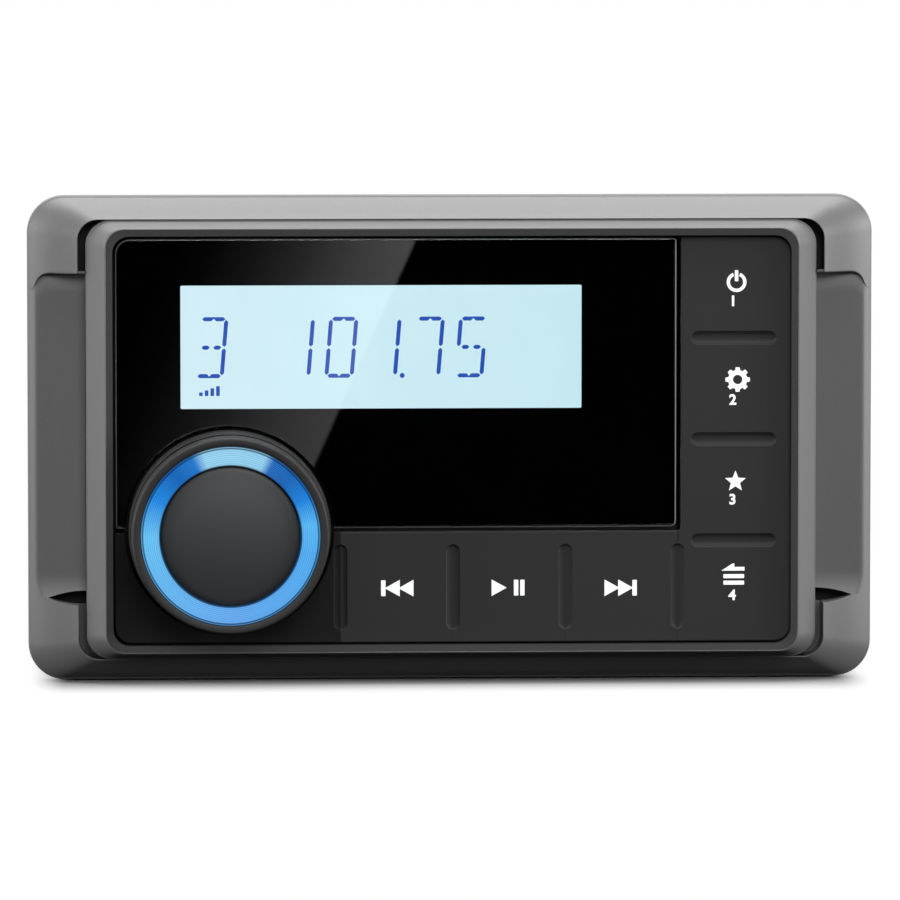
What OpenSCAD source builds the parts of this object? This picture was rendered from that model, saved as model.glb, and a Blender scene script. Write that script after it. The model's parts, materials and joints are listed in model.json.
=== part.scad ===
// Flush-mount marine stereo: clip-on trim bezel, sealed front frame with lens,
// display, rubber keypad and a push-and-turn knob, and a boxed chassis with a
// finned heat sink and sockets behind the panel.
//
// The origin is the middle of the panel face that the flange gasket seals on.
// The front faces -Y, +X is to the viewer's right and +Z is up.

/* [Trim bezel] */
// Width of the clip-on trim
trim_w = 142; // [138:0.5:156]
// Height of the clip-on trim
trim_h = 81.4; // [80:0.2:92]
// Corner radius of the trim's outline
trim_r = 6.2; // [5:0.1:9]
// Wall of the trim moulding
trim_wall = 1.2; // [1:0.1:1.6]
// Thickness of the trim's floor at the finger scoops
trim_floor = 1; // [0.8:0.1:1.4]
// Height of the trim's outer rim above the panel
rim_z = 3.6; // [3.2:0.1:4.2]
// Height of the trim at its opening
trim_z = 8.2; // [7.6:0.1:9]
// Gap between the trim's skirt and the panel
skirt_gap = 0.4; // [0.2:0.1:0.8]
// Groove between the corner pods and the front frame
pod_groove = 1.3; // [1:0.1:2]
// Height of a finger scoop's upper end above the middle
scoop_rise = 27.8; // [23:0.2:29]
// Depth of a finger scoop's lower end below the middle
scoop_fall = 26.7; // [23:0.1:28]
// Corner radius at the upper end of a finger scoop
scoop_r = 2.6; // [1:0.2:4]
// Distance from the trim's side to a finger scoop
scoop_side = 1.2; // [1:0.1:2]
// Dip of a scoop's floor at its upper end
scoop_dip = 0.4; // [0.1:0.1:0.5]
// Length of that dip
dip_len = 3.4; // [2:0.2:6]
// Length of the ramp at the lower end of a finger scoop
ramp_len = 4; // [2:0.5:6]
// Rise of that ramp
ramp_rise = 0.6; // [0.2:0.1:1]
// Length of the pry slot at the lower end of a scoop
slot_len = 6.4; // [4:0.2:7]
// Height of the pry slot
slot_h = 2.3; // [1.6:0.1:3]

/* [Front frame] */
// Width of the trim on each side of the front frame
side_band = 9.8; // [9.5:0.1:12]
// Height of the trim above and below the front frame
top_band = 3.9; // [3.7:0.1:5]
// Corner radius of the front frame
frame_r = 4.2; // [3.5:0.1:5]
// Height where the frame's slope begins
frame_edge_z = 7.8; // [7:0.1:8.2]
// Run of the frame's slope at the sides
slope_side = 3.05; // [2.4:0.05:4]
// Run of the frame's slope at top and bottom
slope_top = 1.15; // [1:0.05:2]
// Height of the frame's ridge above the panel
ridge_z = 12.2; // [11.4:0.1:13]
// Width of the rim between the ridge and the mouth
mouth_rim = 1.4; // [1:0.05:1.8]
// Fall of that rim towards the mouth
mouth_fall = 0.4; // [0.2:0.1:0.8]
// Corner radius of the mouth
mouth_r = 2.8; // [2:0.1:3.4]
// Depth of the lens below the ridge
lens_drop = 1.5; // [1.2:0.1:2]
// Thickness of the flange behind the trim
flange_t = 2; // [1.6:0.1:2.6]
// Thickness of the face plate behind the keypad
plate_t = 1.8; // [1.4:0.1:2.4]
// Wall of the front tub and the chassis
case_wall = 2; // [1.6:0.1:2.6]

/* [Panel mounting] */
// Thickness of the panel gasket
gasket_t = 1.2; // [0.8:0.1:2]
// Radius of the mounting screw holes
mount_r = 2.1; // [1.6:0.1:2.4]
// Distance from the trim's side to the mounting holes
mount_side = 5.6; // [5:0.1:6]
// Distance from the trim's top or bottom to the mounting holes
mount_edge = 8.7; // [7.7:0.1:10]

/* [Lens and display] */
// Thickness of the lens
lens_t = 2; // [1.5:0.1:2.5]
// Thickness of the black mask film behind the lens
mask_t = 0.3; // [0.2:0.05:0.5]
// Gap round the lens and the keypad in the mouth
edge_gap = 0.25; // [0.15:0.05:0.4]
// Gap between the lens and the keypad
lens_gap = 0.6; // [0.4:0.05:0.9]
// Radius of the lens's inner corner
lens_r = 1.1; // [0.5:0.1:2]
// Distance from the lens's left edge to the window
window_left = 11.1; // [9:0.1:13]
// Distance from the lens's top edge to the window
window_top = 8.1; // [7.8:0.1:8.6]
// Distance from the window to the lens's right edge
window_right = 15.5; // [15:0.1:20]
// Distance from the window down to the knob's hole
window_foot = 3; // [3:0.05:5]
// Width of the display glass beyond the window, each side
glass_rim = 2.6; // [2:0.1:3]
// Height of the display glass above the window
glass_top = 2.2; // [1.4:0.1:2.4]
// Height of the display glass below the window
glass_foot = 1.1; // [0.8:0.1:1.2]
// Thickness of the display glass
glass_t = 2.2; // [1.6:0.1:2.6]
// Thickness of the backlight
backlight_t = 3; // [2:0.1:3.4]
// Wall of the display holder
holder_wall = 1; // [0.8:0.1:1.2]

/* [Keypad] */
// Width of the key column
column_w = 18.7; // [17:0.1:20]
// Height of the key row
row_h = 18.7; // [17:0.1:20]
// Width of the keypad between the knob and the first key of the row
knob_land = 1.2; // [0.8:0.1:2]
// Number of keys in the column
column_keys = 4; // [3:1:4]
// Thickness of a key cap
key_cap_t = 1.6; // [1.2:0.1:2]
// Depth of the key tops below the lens
key_drop = 0.2; // [0:0.05:0.5]
// Travel of a key
key_travel = 0.8; // [0.5:0.05:1]
// Gap between neighbouring keys
key_gap = 0.15; // [0.1:0.01:0.3]
// Length of the grooves between the keys
groove_len = 14; // [10:0.1:15]
// Width of the grooves
groove_w = 1.9; // [1.2:0.1:2.4]
// Depth of the grooves
groove_d = 0.6; // [0.3:0.05:0.9]
// Thickness of the keypad mat
mat_t = 0.8; // [0.5:0.05:1.2]
// Radius of a key stem
stem_r = 3; // [2:0.1:3.2]
// Thickness of a carbon pill
pill_t = 0.5; // [0.3:0.05:0.8]

/* [Knob] */
// Distance from the mouth's left side to the knob's axis
knob_side = 19.45; // [19:0.05:21]
// Distance from the mouth's bottom to the knob's axis
knob_up = 19.15; // [18.7:0.05:19.3]
// Diameter of the knob at its base
knob_d = 33.9; // [32:0.1:34.4]
// Height of the knob above the lens
knob_h = 10.5; // [8:0.1:14]
// Taper of the knob's side, on the radius
knob_taper = 0.6; // [0.2:0.1:0.9]
// Rounding of the knob's front edge
knob_edge = 0.4; // [0.2:0.1:1]
// Rise of the domed cap
cap_dome = 0.9; // [0.4:0.1:1.1]
// Outer diameter of the light ring
ring_d = 29.8; // [28:0.1:30]
// Width of the light ring
ring_w = 2.9; // [2:0.1:3.5]
// Gap round the knob in the lens and the keypad
knob_gap = 0.4; // [0.3:0.05:0.6]
// Travel of the knob when it is pressed
knob_travel = 0.8; // [0.4:0.05:1]
// Radius of the encoder shaft
shaft_r = 3; // [2.5:0.1:3.2]
// Running clearance of the shaft in its bush
shaft_play = 0.05; // [0.02:0.01:0.08]
// Height of the encoder's body
encoder_h = 6.5; // [5.8:0.1:8]
// Side of the encoder's body
encoder_side = 12.4; // [11:0.1:13]

/* [Chassis] */
// Inset of the chassis from the front frame, each side
chassis_inset_side = 3.2; // [2.6:0.1:4]
// Inset of the chassis from the front frame, top and bottom
chassis_inset_top = 3.3; // [3:0.1:4]
// Corner radius of the chassis
chassis_r = 5; // [4:0.1:6]
// Length of the chassis behind the front tub
chassis_len = 50; // [46:1:80]
// Thickness of the case seals
seal_t = 1; // [0.6:0.1:1.5]
// Thickness of the rear cover
cover_t = 3; // [2.5:0.1:4]
// Thickness of the circuit boards
board_t = 1.6; // [1.2:0.1:2]
// Height of the main board's posts on the rear cover
main_post = 13.5; // [12:0.5:16]
// Width of the rear cover that is left to the sockets
socket_field = 70; // [68:1:72]
// Distance of the heat sink from the cover's top and bottom
sink_inset = 6.5; // [6:0.5:9]
// Base thickness of the heat sink
sink_base = 3; // [2.5:0.1:4]
// Length of the heat sink's fins
fin_len = 12; // [8:1:18]
// Thickness of one fin
fin_t = 1.6; // [1.2:0.1:2]
// Number of fins
fin_count = 9; // [5:1:11]

/* [Hidden] */
$fn = 48;
eps = 0.01;
// How far a cut runs past the face it opens
over = 1;
// Clearances: moulded parts, key stems, threads and press fits
fit = 0.2;
stem_fit = 0.15;
thread_fit = 0.02;
press_fit = 0.04;
socket_fit = 0.25;

// Share of the groove that is added to the opening's corner radius
groove_round = 0.7;

// Outline sizes, from the trim inwards
frame_w = trim_w - 2 * side_band;
frame_h = trim_h - 2 * top_band;
open_w = frame_w + 2 * pod_groove;
open_h = frame_h + 2 * fit;
open_r = frame_r + groove_round * pod_groove;
flange_w = trim_w - 2 * (trim_wall + fit);
flange_h = trim_h - 2 * (trim_wall + fit);
flange_r = trim_r - trim_wall;
ridge_w = frame_w - 2 * slope_side;
ridge_h = frame_h - 2 * slope_top;
ridge_round = 0.4;
ridge_r = mouth_r + ridge_round;
ridge_land = 0.3;
edge_run = 0.25;
edge_rise = 0.35;
rim_round = 0.8;
rim_inset = 0.3;
lip_run = 0.25;
// Wall that closes the pod's groove above a scoop
groove_end = 0.5;
mouth_w = ridge_w - 2 * mouth_rim;
mouth_h = ridge_h - 2 * mouth_rim;
chassis_w = frame_w - 2 * chassis_inset_side;
chassis_h = frame_h - 2 * chassis_inset_top;
inner_w = chassis_w - 2 * case_wall;
inner_h = chassis_h - 2 * case_wall;
inner_r = chassis_r - case_wall;
mount_w = trim_w - 2 * mount_side;
mount_h = trim_h - 2 * mount_edge;

// Heights above the panel, front to back
flange_z = gasket_t + flange_t;
trim_under = flange_z + fit;
scoop_z = trim_under + trim_floor;
lens_z = ridge_z - lens_drop;
lens_back = lens_z - lens_t;
plate_lens = lens_back - mask_t;
key_top = lens_z - key_drop;
key_under = key_top - key_cap_t;
key_spare = 0.1;
mat_top = key_under - key_travel - key_spare;
plate_key = mat_top - mat_t;
plate_back = plate_key - plate_t;
board_front = plate_back - encoder_h;
board_back = board_front - board_t;
header_h = 3;
header_room = 1;
frame_back = board_back - header_h - header_room;
chassis_front = frame_back - seal_t;
bulkhead_t = 2;
bulkhead_back = chassis_front - bulkhead_t;
chassis_back = chassis_front - chassis_len;
cover_front = chassis_back - seal_t;
cover_back = cover_front - cover_t;
main_back = cover_front + main_post;
main_front = main_back + board_t;
sink_seal_t = 0.8;
sink_face = cover_back - sink_seal_t;
fin_root = sink_face - sink_base;

// Keypad and lens places
lens_left = -mouth_w / 2 + edge_gap;
lens_top = mouth_h / 2 - edge_gap;
column_right = mouth_w / 2 - edge_gap;
column_left = column_right - column_w;
row_bottom = -mouth_h / 2 + edge_gap;
row_top = row_bottom + row_h;
lens_right = column_left - lens_gap;
lens_bottom = row_top + lens_gap;
column_pitch = (lens_top - row_bottom) / column_keys;
knob_u = -mouth_w / 2 + knob_side;
knob_v = -mouth_h / 2 + knob_up;
knob_r = knob_d / 2;
knob_hole_r = knob_r + knob_gap;
row_left = knob_u + knob_hole_r + knob_land;
row_key_w = (column_left - row_left) / 3;

// Each key: left, bottom, right, top
column_names = ["source", "settings", "favourite", "back"];
row_names = ["previous", "play", "next"];
function column_v(i) = lens_top - i * column_pitch;
function row_u(i) = row_left + i * row_key_w;
function column_box(i) = [column_left, column_v(i + 1), column_right, column_v(i)];
function row_box(i) = [row_u(i), row_bottom, row_u(i + 1), row_top];
KEY_NAMES = concat([for (i = [0:column_keys - 1]) column_names[i]], row_names);
KEY_BOXES = concat([for (i = [0:column_keys - 1]) column_box(i)], [for (i = [0:2]) row_box(i)]);
function middle(b) = [(b[0] + b[2]) / 2, (b[1] + b[3]) / 2];

// Display places
window_w = lens_right - lens_left - window_left - window_right;
window_h = lens_top - window_top - window_foot - knob_v - knob_hole_r;
window_u = lens_left + window_left + window_w / 2;
window_v = lens_top - window_top - window_h / 2;
glass_w = window_w + 2 * glass_rim;
glass_h = window_h + glass_top + glass_foot;
glass_v = window_v + (glass_top - glass_foot) / 2;
holder_w = glass_w + 2 * (holder_wall + fit);
holder_h = glass_h + 2 * (holder_wall + fit);
glass_front = plate_lens - fit;
glass_back = glass_front - glass_t;
light_back = glass_back - backlight_t;

// Screw places and sizes
boss_r = 2.8;
boss_sink = 0.4;
boss_u = inner_w / 2 - boss_r + boss_sink;
boss_v = inner_h / 2 - boss_r + boss_sink;
post_u = inner_w / 2 - boss_r - fit;
case_post_v = 11;
small_screw_r = 1;
case_screw_r = 1.25;
head_r = 2;
head_h = 1.6;
screw_bite = 7;
board_bite = 5;

// Key contacts and the carbon pills above them
contact_t = 0.05;
contact_inset = 0.2;
pill_gap = 0.05;
pill_inset = 0.4;
pill_foot = board_front + contact_t + key_travel + pill_gap;
pill_top = pill_foot + pill_t;

// Knob heights
knob_sink = 1.2;
ring_lift = 0.3;
ring_drop = 0.1;
cap_drop = 0.15;
line_drop = 4;
line_w = 0.45;
line_d = 0.2;
bush_wall = 0.5;
bush_out = 3.4;
hub_gap = 0.3;
hub_len = 5;
hub_roof = 0.5;
hub_wall = 2.4;
web_up = 1;
web_t = 1.8;
rotor_up = 2.9;
rotor_t = 1.2;
rotor_rim = 1.2;
plunger_t = 0.7;
plunger_gap = 0.05;
plunger_inset = 0.6;
shaft_foot = 0.55;
guide_gap = 0.6;
knob_foot = lens_z - knob_sink;
knob_top = lens_z + knob_h;
ring_r = ring_d / 2;
ring_in = ring_r - ring_w;
ring_foot = lens_z + ring_lift;
cap_top = knob_top - cap_drop;
bush_r = shaft_r + bush_wall;
bush_top = plate_key + bush_out;
nut_h = 2;
nut_across = 10;
hub_foot = bush_top + knob_travel + hub_gap;
hub_top = hub_foot + hub_len;
web_z = hub_foot + web_up;
shaft_top = hub_top - hub_roof - press_fit;
shaft_flat = shaft_r / 2;
rotor_z = board_front + rotor_up;
guide_top = ring_foot - knob_travel - guide_gap;
peg_r = 1.4;
led_side = 2.8;
led_h = 1.2;
led_ring = ring_r - ring_w / 2;

// Rear places
sink_w = chassis_w - socket_field;
sink_h = chassis_h - 2 * sink_inset;
sink_margin = 1;
sink_u = -boss_u + boss_r + sink_margin + sink_w / 2;
sink_screw_inset = 2.8;
sink_screw_u = sink_w / 2 - sink_screw_inset;
sink_screw_v = sink_h / 2 - sink_screw_inset;
fin_clear = 1.2;
fin_field = 2 * (sink_screw_u - head_r - fin_clear);
pedestal_inset_u = 3;
pedestal_inset_v = 7;
pedestal_w = fin_field - 2 * pedestal_inset_u;
pedestal_h = sink_h - 2 * pedestal_inset_v;
chip_rim = 2;
chip_w = pedestal_w - 2 * chip_rim;
chip_h = 18;
chip_t = 4.5;
chip_step = 3;
pad_t = 0.5;
chip_face = main_back - chip_t;
pad_face = chip_face - pad_t;
rear_side = chassis_w / 2;
harness_w = 32;
harness_h = 13;
harness_u = rear_side - 34;
harness_v = -19.5;
harness_wall = 1.2;
harness_depth = 12;
harness_mouth = cover_back - 5;
harness_floor = harness_mouth + harness_depth;
pin_side = 0.9;
pin_pitch = 3.4;
pin_row = 2.2;
pin_len = 6;
pin_count = 8;
rca_side = 24;
rca_u = rear_side - 43;
rca_v = 7;
rca_pitch = 12;
rca_r = 4.15;
rca_out = 9;
rca_stem = 3.6;
rca_root = 4;
rca_wall = 0.5;
rca_recess = 0.6;
rca_bore = 1.6;
usb_w = 15;
usb_h = 8;
usb_u = rear_side - 18;
usb_v = -1;
usb_wall = 0.6;
usb_out = 1;
usb_depth = 12;
usb_tongue_t = 2;
usb_tongue_up = 1.2;
usb_tongue_in = 0.5;
antenna_u = rear_side - 18;
antenna_v = 19;
antenna_r = 6;
antenna_bore = 4.5;
antenna_depth = 10;
antenna_pin_r = 1.7;
antenna_pin_depth = 14;
antenna_face = cover_back - 8;
tuner_w = 24;
tuner_h = 22;
tuner_t = 6;
tuner_v = 12;
tuner_shift = 3;
can_r = 5;
can_h = 12.5;
can_gap = 2;
can_v = 16;
coil_ring = 6;
coil_r = 4;
coil_v = -14;
ribbon_u = 12;
ribbon_w = 20;
ribbon_t = 0.4;
ribbon_front_v = -6;
ribbon_rear_v = -14;
ribbon_slot_v = (3 * ribbon_front_v + ribbon_rear_v) / 4;
ribbon_slot_h = 9;
ribbon_slot_w = ribbon_w + 6;
header_w = ribbon_w + 4;
header_d = 4;
boss_len = 14;
boss_floor = 2;
board_gap = 0.5;
main_gap = 1;
main_r = 2;
main_notch = 2 * boss_r + 3;
main_post_v = boss_v - 3 * boss_r;

// Colours as the photograph shows them
grey_plastic = "#6f7073";
black_plastic = "#1b1c1e";
rubber_grey = "#333436";
board_green = "#1f5b3a";
metal = "#b9bcc0";
copper = "#c7893c";

// Turns drawing space, with z towards the viewer, into the object's frame
module front() { rotate([90, 0, 0]) children(); }

// Rounded rectangle with true arcs
module rounded(w, h, r) {
    square([w - 2 * r, h], center = true);
    square([w, h - 2 * r], center = true);
    for (su = [-1, 1], sv = [-1, 1])
        translate([su * (w / 2 - r), sv * (h / 2 - r)]) circle(r);
}

// Rounded plate from one height to another
module slab(w, h, r, z0, z1) {
    translate([0, 0, z0]) linear_extrude(z1 - z0) rounded(w, h, r);
}

// Thin section for a loft
module section(w, h, r, z) { slab(w, h, r, z, z + eps, $fn = 32); }

// Plain block from its middle and two heights
module block(u, v, w, h, z0, z1) {
    translate([u - w / 2, v - h / 2, z0]) cube([w, h, z1 - z0]);
}

// Round bar at one place, from one height to another
module bar(u, v, r, z0, z1) { translate([u, v, z0]) cylinder(r = r, h = z1 - z0); }

// Copies at the four corners of a rectangle
module at_corners(u, v) {
    for (su = [-1, 1], sv = [-1, 1]) translate([su * u, sv * v, 0]) children();
}

// Copies on both sides
module both_sides() {
    children();
    mirror([1, 0, 0]) children();
}

// Screw along z: its head lies behind z, its shank runs forward
module screw(r, z, length) {
    translate([0, 0, z - head_h]) cylinder(r = head_r, h = head_h);
    translate([0, 0, z]) cylinder(r = r, h = length);
}

// Box outline of the mouth, less a gap all round
module mouth(gap) { rounded(mouth_w - 2 * gap, mouth_h - 2 * gap, mouth_r - gap); }

module corner_box(b) { translate([b[0], b[1]]) square([b[2] - b[0], b[3] - b[1]]); }

module lens_outline() {
    difference() {
        intersection() {
            mouth(edge_gap);
            lens_corner();
        }
        translate([knob_u, knob_v]) circle(knob_hole_r);
    }
}

// Runs past the mouth at the left and the top, and has one rounded corner inside it
module lens_corner() {
    w = lens_right + mouth_w;
    h = mouth_h - lens_bottom;
    translate([lens_right - w / 2, lens_bottom + h / 2]) rounded(w, h, lens_r);
}

// The keypad's L: the key column and the whole bottom row
module keypad_outline(gap) {
    intersection() {
        mouth(gap);
        union() {
            corner_box([column_left, -mouth_h, mouth_w, mouth_h]);
            corner_box([-mouth_w, -mouth_h, mouth_w, row_top]);
        }
    }
}

// The trim's outside: a skirt that swells up to the opening
module trim_body(inset, z0, rim, top) {
    hull() {
        slab(trim_w - 2 * inset, trim_h - 2 * inset, trim_r - inset, z0, rim - rim_round, $fn = 32);
        section(trim_w - 2 * (inset + rim_inset), trim_h - 2 * (inset + rim_inset), trim_r - inset, rim);
        section(open_w + 2 * lip_run, open_h + 2 * lip_run, open_r, top - eps);
    }
}

// Side profile of a finger scoop: flat floor that dips at the upper end, gentle ramp at the lower end
module scoop_profile() {
    ramp_r = (ramp_len * ramp_len + ramp_rise * ramp_rise) / (2 * ramp_rise);
    steps = 8;
    dip_low = scoop_z - scoop_dip;
    difference() {
        polygon(concat(
            [[-scoop_fall, scoop_z + trim_z], [-scoop_fall, scoop_z]],
            [for (i = [0:steps]) [scoop_rise - dip_len * (1 - i / steps), scoop_z - scoop_dip * pow(i / steps, 2)]],
            [[scoop_rise + over, dip_low], [scoop_rise + over, scoop_z + trim_z]]
        ));
        translate([-scoop_fall, scoop_z])
            difference() {
                square(ramp_len);
                translate([ramp_len, ramp_r]) circle(ramp_r, $fn = 96);
            }
    }
}

// Plan of a finger scoop, with a rounded upper corner
module scoop_plan() {
    translate([trim_w / 2 - scoop_side - side_band, -scoop_r])
        rounded(2 * side_band, 2 * (scoop_rise + scoop_r), scoop_r);
}

// Outline of a pry slot: half a leaf between two arcs, its broad end at the frame
module slot_outline() {
    leaf_r = (4 * slot_len * slot_len + slot_h * slot_h) / (4 * slot_h);
    translate([frame_w / 2, -scoop_fall])
        intersection() {
            translate([0, -slot_h]) square([2 * slot_len, 2 * slot_h]);
            translate([0, slot_h / 2 - leaf_r]) circle(leaf_r, $fn = 96);
            translate([0, leaf_r - slot_h / 2]) circle(leaf_r, $fn = 96);
        }
}

// Whole width of the trim between two heights of the panel
module band(v0, v1) { block(0, (v0 + v1) / 2, 2 * trim_w, v1 - v0, -over, trim_z + 2 * over); }

module trim_bezel() {
    hook_w = 9;
    hook_bite = 0.6;
    hook_gap = 0.1;
    hook_reach = fit + hook_bite;
    hook_v = trim_h / 2 - trim_wall - hook_reach / 2 + eps;
    color(grey_plastic) front() {
        difference() {
            trim_body(0, skirt_gap, rim_z, trim_z);
            // room for the flange
            slab(trim_w - 2 * trim_wall, trim_h - 2 * trim_wall, flange_r, 0, trim_under);
            // opening, wider beside the corner pods so that a groove shows
            difference() {
                slab(open_w, open_h, open_r, 0, trim_z + over);
                band(-scoop_fall, scoop_rise + groove_end);
            }
            slab(frame_w + fit, frame_h + fit, frame_r + fit / 2, 0, trim_z + over);
            // hollow corner pods
            difference() {
                trim_body(trim_wall, 0, rim_z - trim_wall / 2, trim_z - trim_wall);
                slab(open_w + 2 * trim_wall, open_h + 2 * trim_wall, open_r, 0, trim_z);
                band(-scoop_fall - slot_h / 2 - trim_wall, scoop_rise + groove_end + trim_wall);
            }
            both_sides() {
                intersection() {
                    translate([frame_w / 2 - fit, 0, 0]) rotate([90, 0, 90])
                        linear_extrude(side_band) scoop_profile();
                    linear_extrude(2 * trim_z) scoop_plan();
                }
                translate([0, 0, trim_under - over]) linear_extrude(trim_z) slot_outline();
            }
        }
        // clip hooks behind the flange
        for (u = [-trim_w / 4, 0, trim_w / 4], s = [-1, 1])
            block(u, s * hook_v, hook_w, hook_reach + 2 * eps, skirt_gap, gasket_t - hook_gap);
    }
}

module front_frame() {
    slope_w = frame_w - 2 * edge_run;
    slope_h = frame_h - 2 * edge_run;
    color(grey_plastic) front() difference() {
        union() {
            difference() {
                union() {
                    slab(flange_w, flange_h, flange_r, gasket_t, flange_z);
                    slab(chassis_w, chassis_h, chassis_r, frame_back, flange_z);
                    hull() {
                        slab(frame_w, frame_h, frame_r, gasket_t, frame_edge_z, $fn = 32);
                        section(slope_w, slope_h, frame_r, frame_edge_z + edge_rise);
                        section(ridge_w, ridge_h, ridge_r, ridge_z - eps);
                    }
                }
                // hollow tub behind the face plate
                slab(inner_w, inner_h, inner_r, frame_back - over, plate_back);
            }
            // posts for the control board and for the chassis screws
            at_corners(boss_u, boss_v) bar(0, 0, boss_r, board_front, plate_back + eps);
            at_corners(post_u, case_post_v) bar(0, 0, boss_r, chassis_front, plate_back + eps);
        }
        // mouth, with a rim that falls gently towards it
        hull() {
            section(ridge_w - 2 * ridge_land, ridge_h - 2 * ridge_land, ridge_r - ridge_land, ridge_z);
            section(mouth_w, mouth_h, mouth_r, ridge_z - mouth_fall);
        }
        // seats for the lens, the keypad and the knob
        translate([0, 0, plate_lens]) linear_extrude(ridge_z) mouth(0);
        translate([0, 0, plate_key]) linear_extrude(ridge_z) keypad_outline(0);
        bar(knob_u, knob_v, knob_hole_r, plate_key, ridge_z);
        // display window, key stems, encoder bush and light pegs
        block(window_u, glass_v, holder_w + 2 * fit, holder_h + 2 * fit, plate_back - over, ridge_z);
        key_places() bar(0, 0, stem_r + stem_fit, plate_back - over, ridge_z);
        bar(knob_u, knob_v, bush_r + press_fit, plate_back - over, ridge_z);
        ring_places() bar(0, 0, peg_r + press_fit, plate_back - over, ridge_z);
        // screw holes
        mount_places() bar(0, 0, mount_r, 0, flange_z + over);
        at_corners(boss_u, boss_v)
            bar(0, 0, small_screw_r + thread_fit, board_front - over, plate_back);
        at_corners(post_u, case_post_v)
            bar(0, 0, case_screw_r + thread_fit, chassis_front - over, plate_back);
        // pry slots meet the trim's
        both_sides() linear_extrude(flange_z + over) slot_outline();
    }
}

// Places of the light guide's pegs and the lamps under them
module ring_places() {
    for (a = [45:90:315])
        translate([knob_u, knob_v, 0]) rotate(a) translate([led_ring, 0, 0]) children();
}

// Middle of each key
module key_places() { for (b = KEY_BOXES) translate(middle(b)) children(); }

// The four panel screws
module mount_places() { at_corners(mount_w / 2, mount_h / 2) children(); }

module panel_gasket() {
    gasket_inset = 0.8;
    color("#2a2a2c") front() difference() {
        slab(flange_w - 2 * gasket_inset, flange_h - 2 * gasket_inset, flange_r, 0, gasket_t);
        slab(chassis_w + 2 * fit, chassis_h + 2 * fit, chassis_r, -over, gasket_t + over);
        mount_places() bar(0, 0, mount_r, -over, gasket_t + over);
    }
}

module lens() {
    color("#0b0c0e") front() translate([0, 0, lens_back]) linear_extrude(lens_t) lens_outline();
}

module lens_mask() {
    color("#060607") front() difference() {
        translate([0, 0, plate_lens]) linear_extrude(mask_t) lens_outline();
        block(window_u, window_v, window_w, window_h, plate_lens - over, lens_back + over);
    }
}

module lcd_panel() {
    color("#c9e6ef") front() block(window_u, glass_v, glass_w, glass_h, glass_back, glass_front);
}

module lcd_backlight() {
    color("#e9f3f6") front() block(window_u, glass_v, glass_w, glass_h, light_back, glass_back);
}

module lcd_holder() {
    floor_t = 1.2;
    color(black_plastic) front() difference() {
        block(window_u, glass_v, holder_w, holder_h, board_front, glass_front);
        block(window_u, glass_v, glass_w + 2 * fit, glass_h + 2 * fit, light_back, glass_front + over);
        // open underside, so the floor stands on the outer walls
        block(window_u, glass_v, holder_w - 2 * holder_wall, holder_h - 2 * holder_wall,
              board_front - over, light_back - floor_t);
    }
}

// Grooves along the shared sides of the keys
module grooves() {
    for (i = [1:column_keys - 1])
        translate([(column_left + column_right) / 2, column_v(i)]) groove(groove_len, groove_w);
    for (i = [0:3])
        translate([row_u(i), (row_bottom + row_top) / 2]) groove(groove_w, groove_len);
}

module groove(w, h) {
    r = min(w, h) / 2 - eps;
    translate([0, 0, key_top - groove_d]) linear_extrude(groove_d + over) rounded(w, h, r);
}

module keypad_mat() {
    color(rubber_grey) front() difference() {
        union() {
            translate([0, 0, plate_key]) linear_extrude(mat_t) keypad_outline(edge_gap);
            // raised surround of the knob
            translate([0, 0, plate_key]) linear_extrude(key_top - plate_key) intersection() {
                mouth(edge_gap);
                corner_box([-mouth_w, row_bottom, row_left - key_gap / 2, row_top]);
            }
        }
        bar(knob_u, knob_v, knob_hole_r, 0, ridge_z);
        key_places() bar(0, 0, stem_r + 2 * stem_fit, 0, ridge_z);
        grooves();
    }
}

// One key: cap with half grooves on its shared sides, and its stem
module key(b) {
    g = key_gap / 2;
    color(rubber_grey) front() {
        difference() {
            translate([0, 0, key_under]) linear_extrude(key_cap_t) intersection() {
                mouth(edge_gap);
                corner_box([b[0] + g, b[1] + g, b[2] - g, b[3] - g]);
            }
            grooves();
        }
        translate(middle(b)) bar(0, 0, stem_r, pill_top, key_under + eps);
    }
}

// Carbon pill on the end of a key's stem
module pill(b) {
    color("#101012") front() translate(middle(b)) bar(0, 0, stem_r - pill_inset, pill_foot, pill_top);
}

module board_outline() {
    difference() {
        rounded(inner_w - 2 * board_gap, inner_h - 2 * board_gap, inner_r);
        at_corners(post_u, case_post_v) circle(boss_r + fit);
        at_corners(boss_u, boss_v) circle(small_screw_r + fit);
    }
}

module control_board() {
    color(board_green) front() translate([0, 0, board_back]) linear_extrude(board_t) board_outline();
}

module key_contacts() {
    color("#d3a53a") front() key_places()
        bar(0, 0, stem_r - contact_inset, board_front, board_front + contact_t);
}

module ring_leds() {
    color("#e8eef2") front() ring_places()
        block(0, 0, led_side, led_side, board_front, board_front + led_h);
}

// Frosted ring under the knob, with a peg down each lamp hole
module ring_light_guide() {
    color("#8ec6ff") front() {
        translate([knob_u, knob_v, 0]) difference() {
            bar(0, 0, ring_r, plate_key, guide_top);
            bar(0, 0, ring_in, plate_key - over, guide_top + over);
        }
        ring_places() bar(0, 0, peg_r, plate_back, plate_key + eps);
    }
}

module board_screws() {
    color(metal) front() at_corners(boss_u, boss_v)
        screw(small_screw_r, board_back, board_t + board_bite);
}

module encoder_body() {
    cavity_r = shaft_r + 1.5;
    cavity_floor = 0.5;
    cavity_roof = 1.2;
    tab_len = 0.8;
    color("#9aa0a6") front() translate([knob_u, knob_v, 0]) difference() {
        union() {
            block(0, 0, encoder_side, encoder_side + tab_len, board_front, plate_back);
            bar(0, 0, bush_r, plate_back - eps, bush_top);
        }
        bar(0, 0, cavity_r, board_front + cavity_floor, plate_back - cavity_roof);
        bar(0, 0, shaft_r + shaft_play, plate_back - 2 * over, bush_top + over);
    }
}

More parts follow.
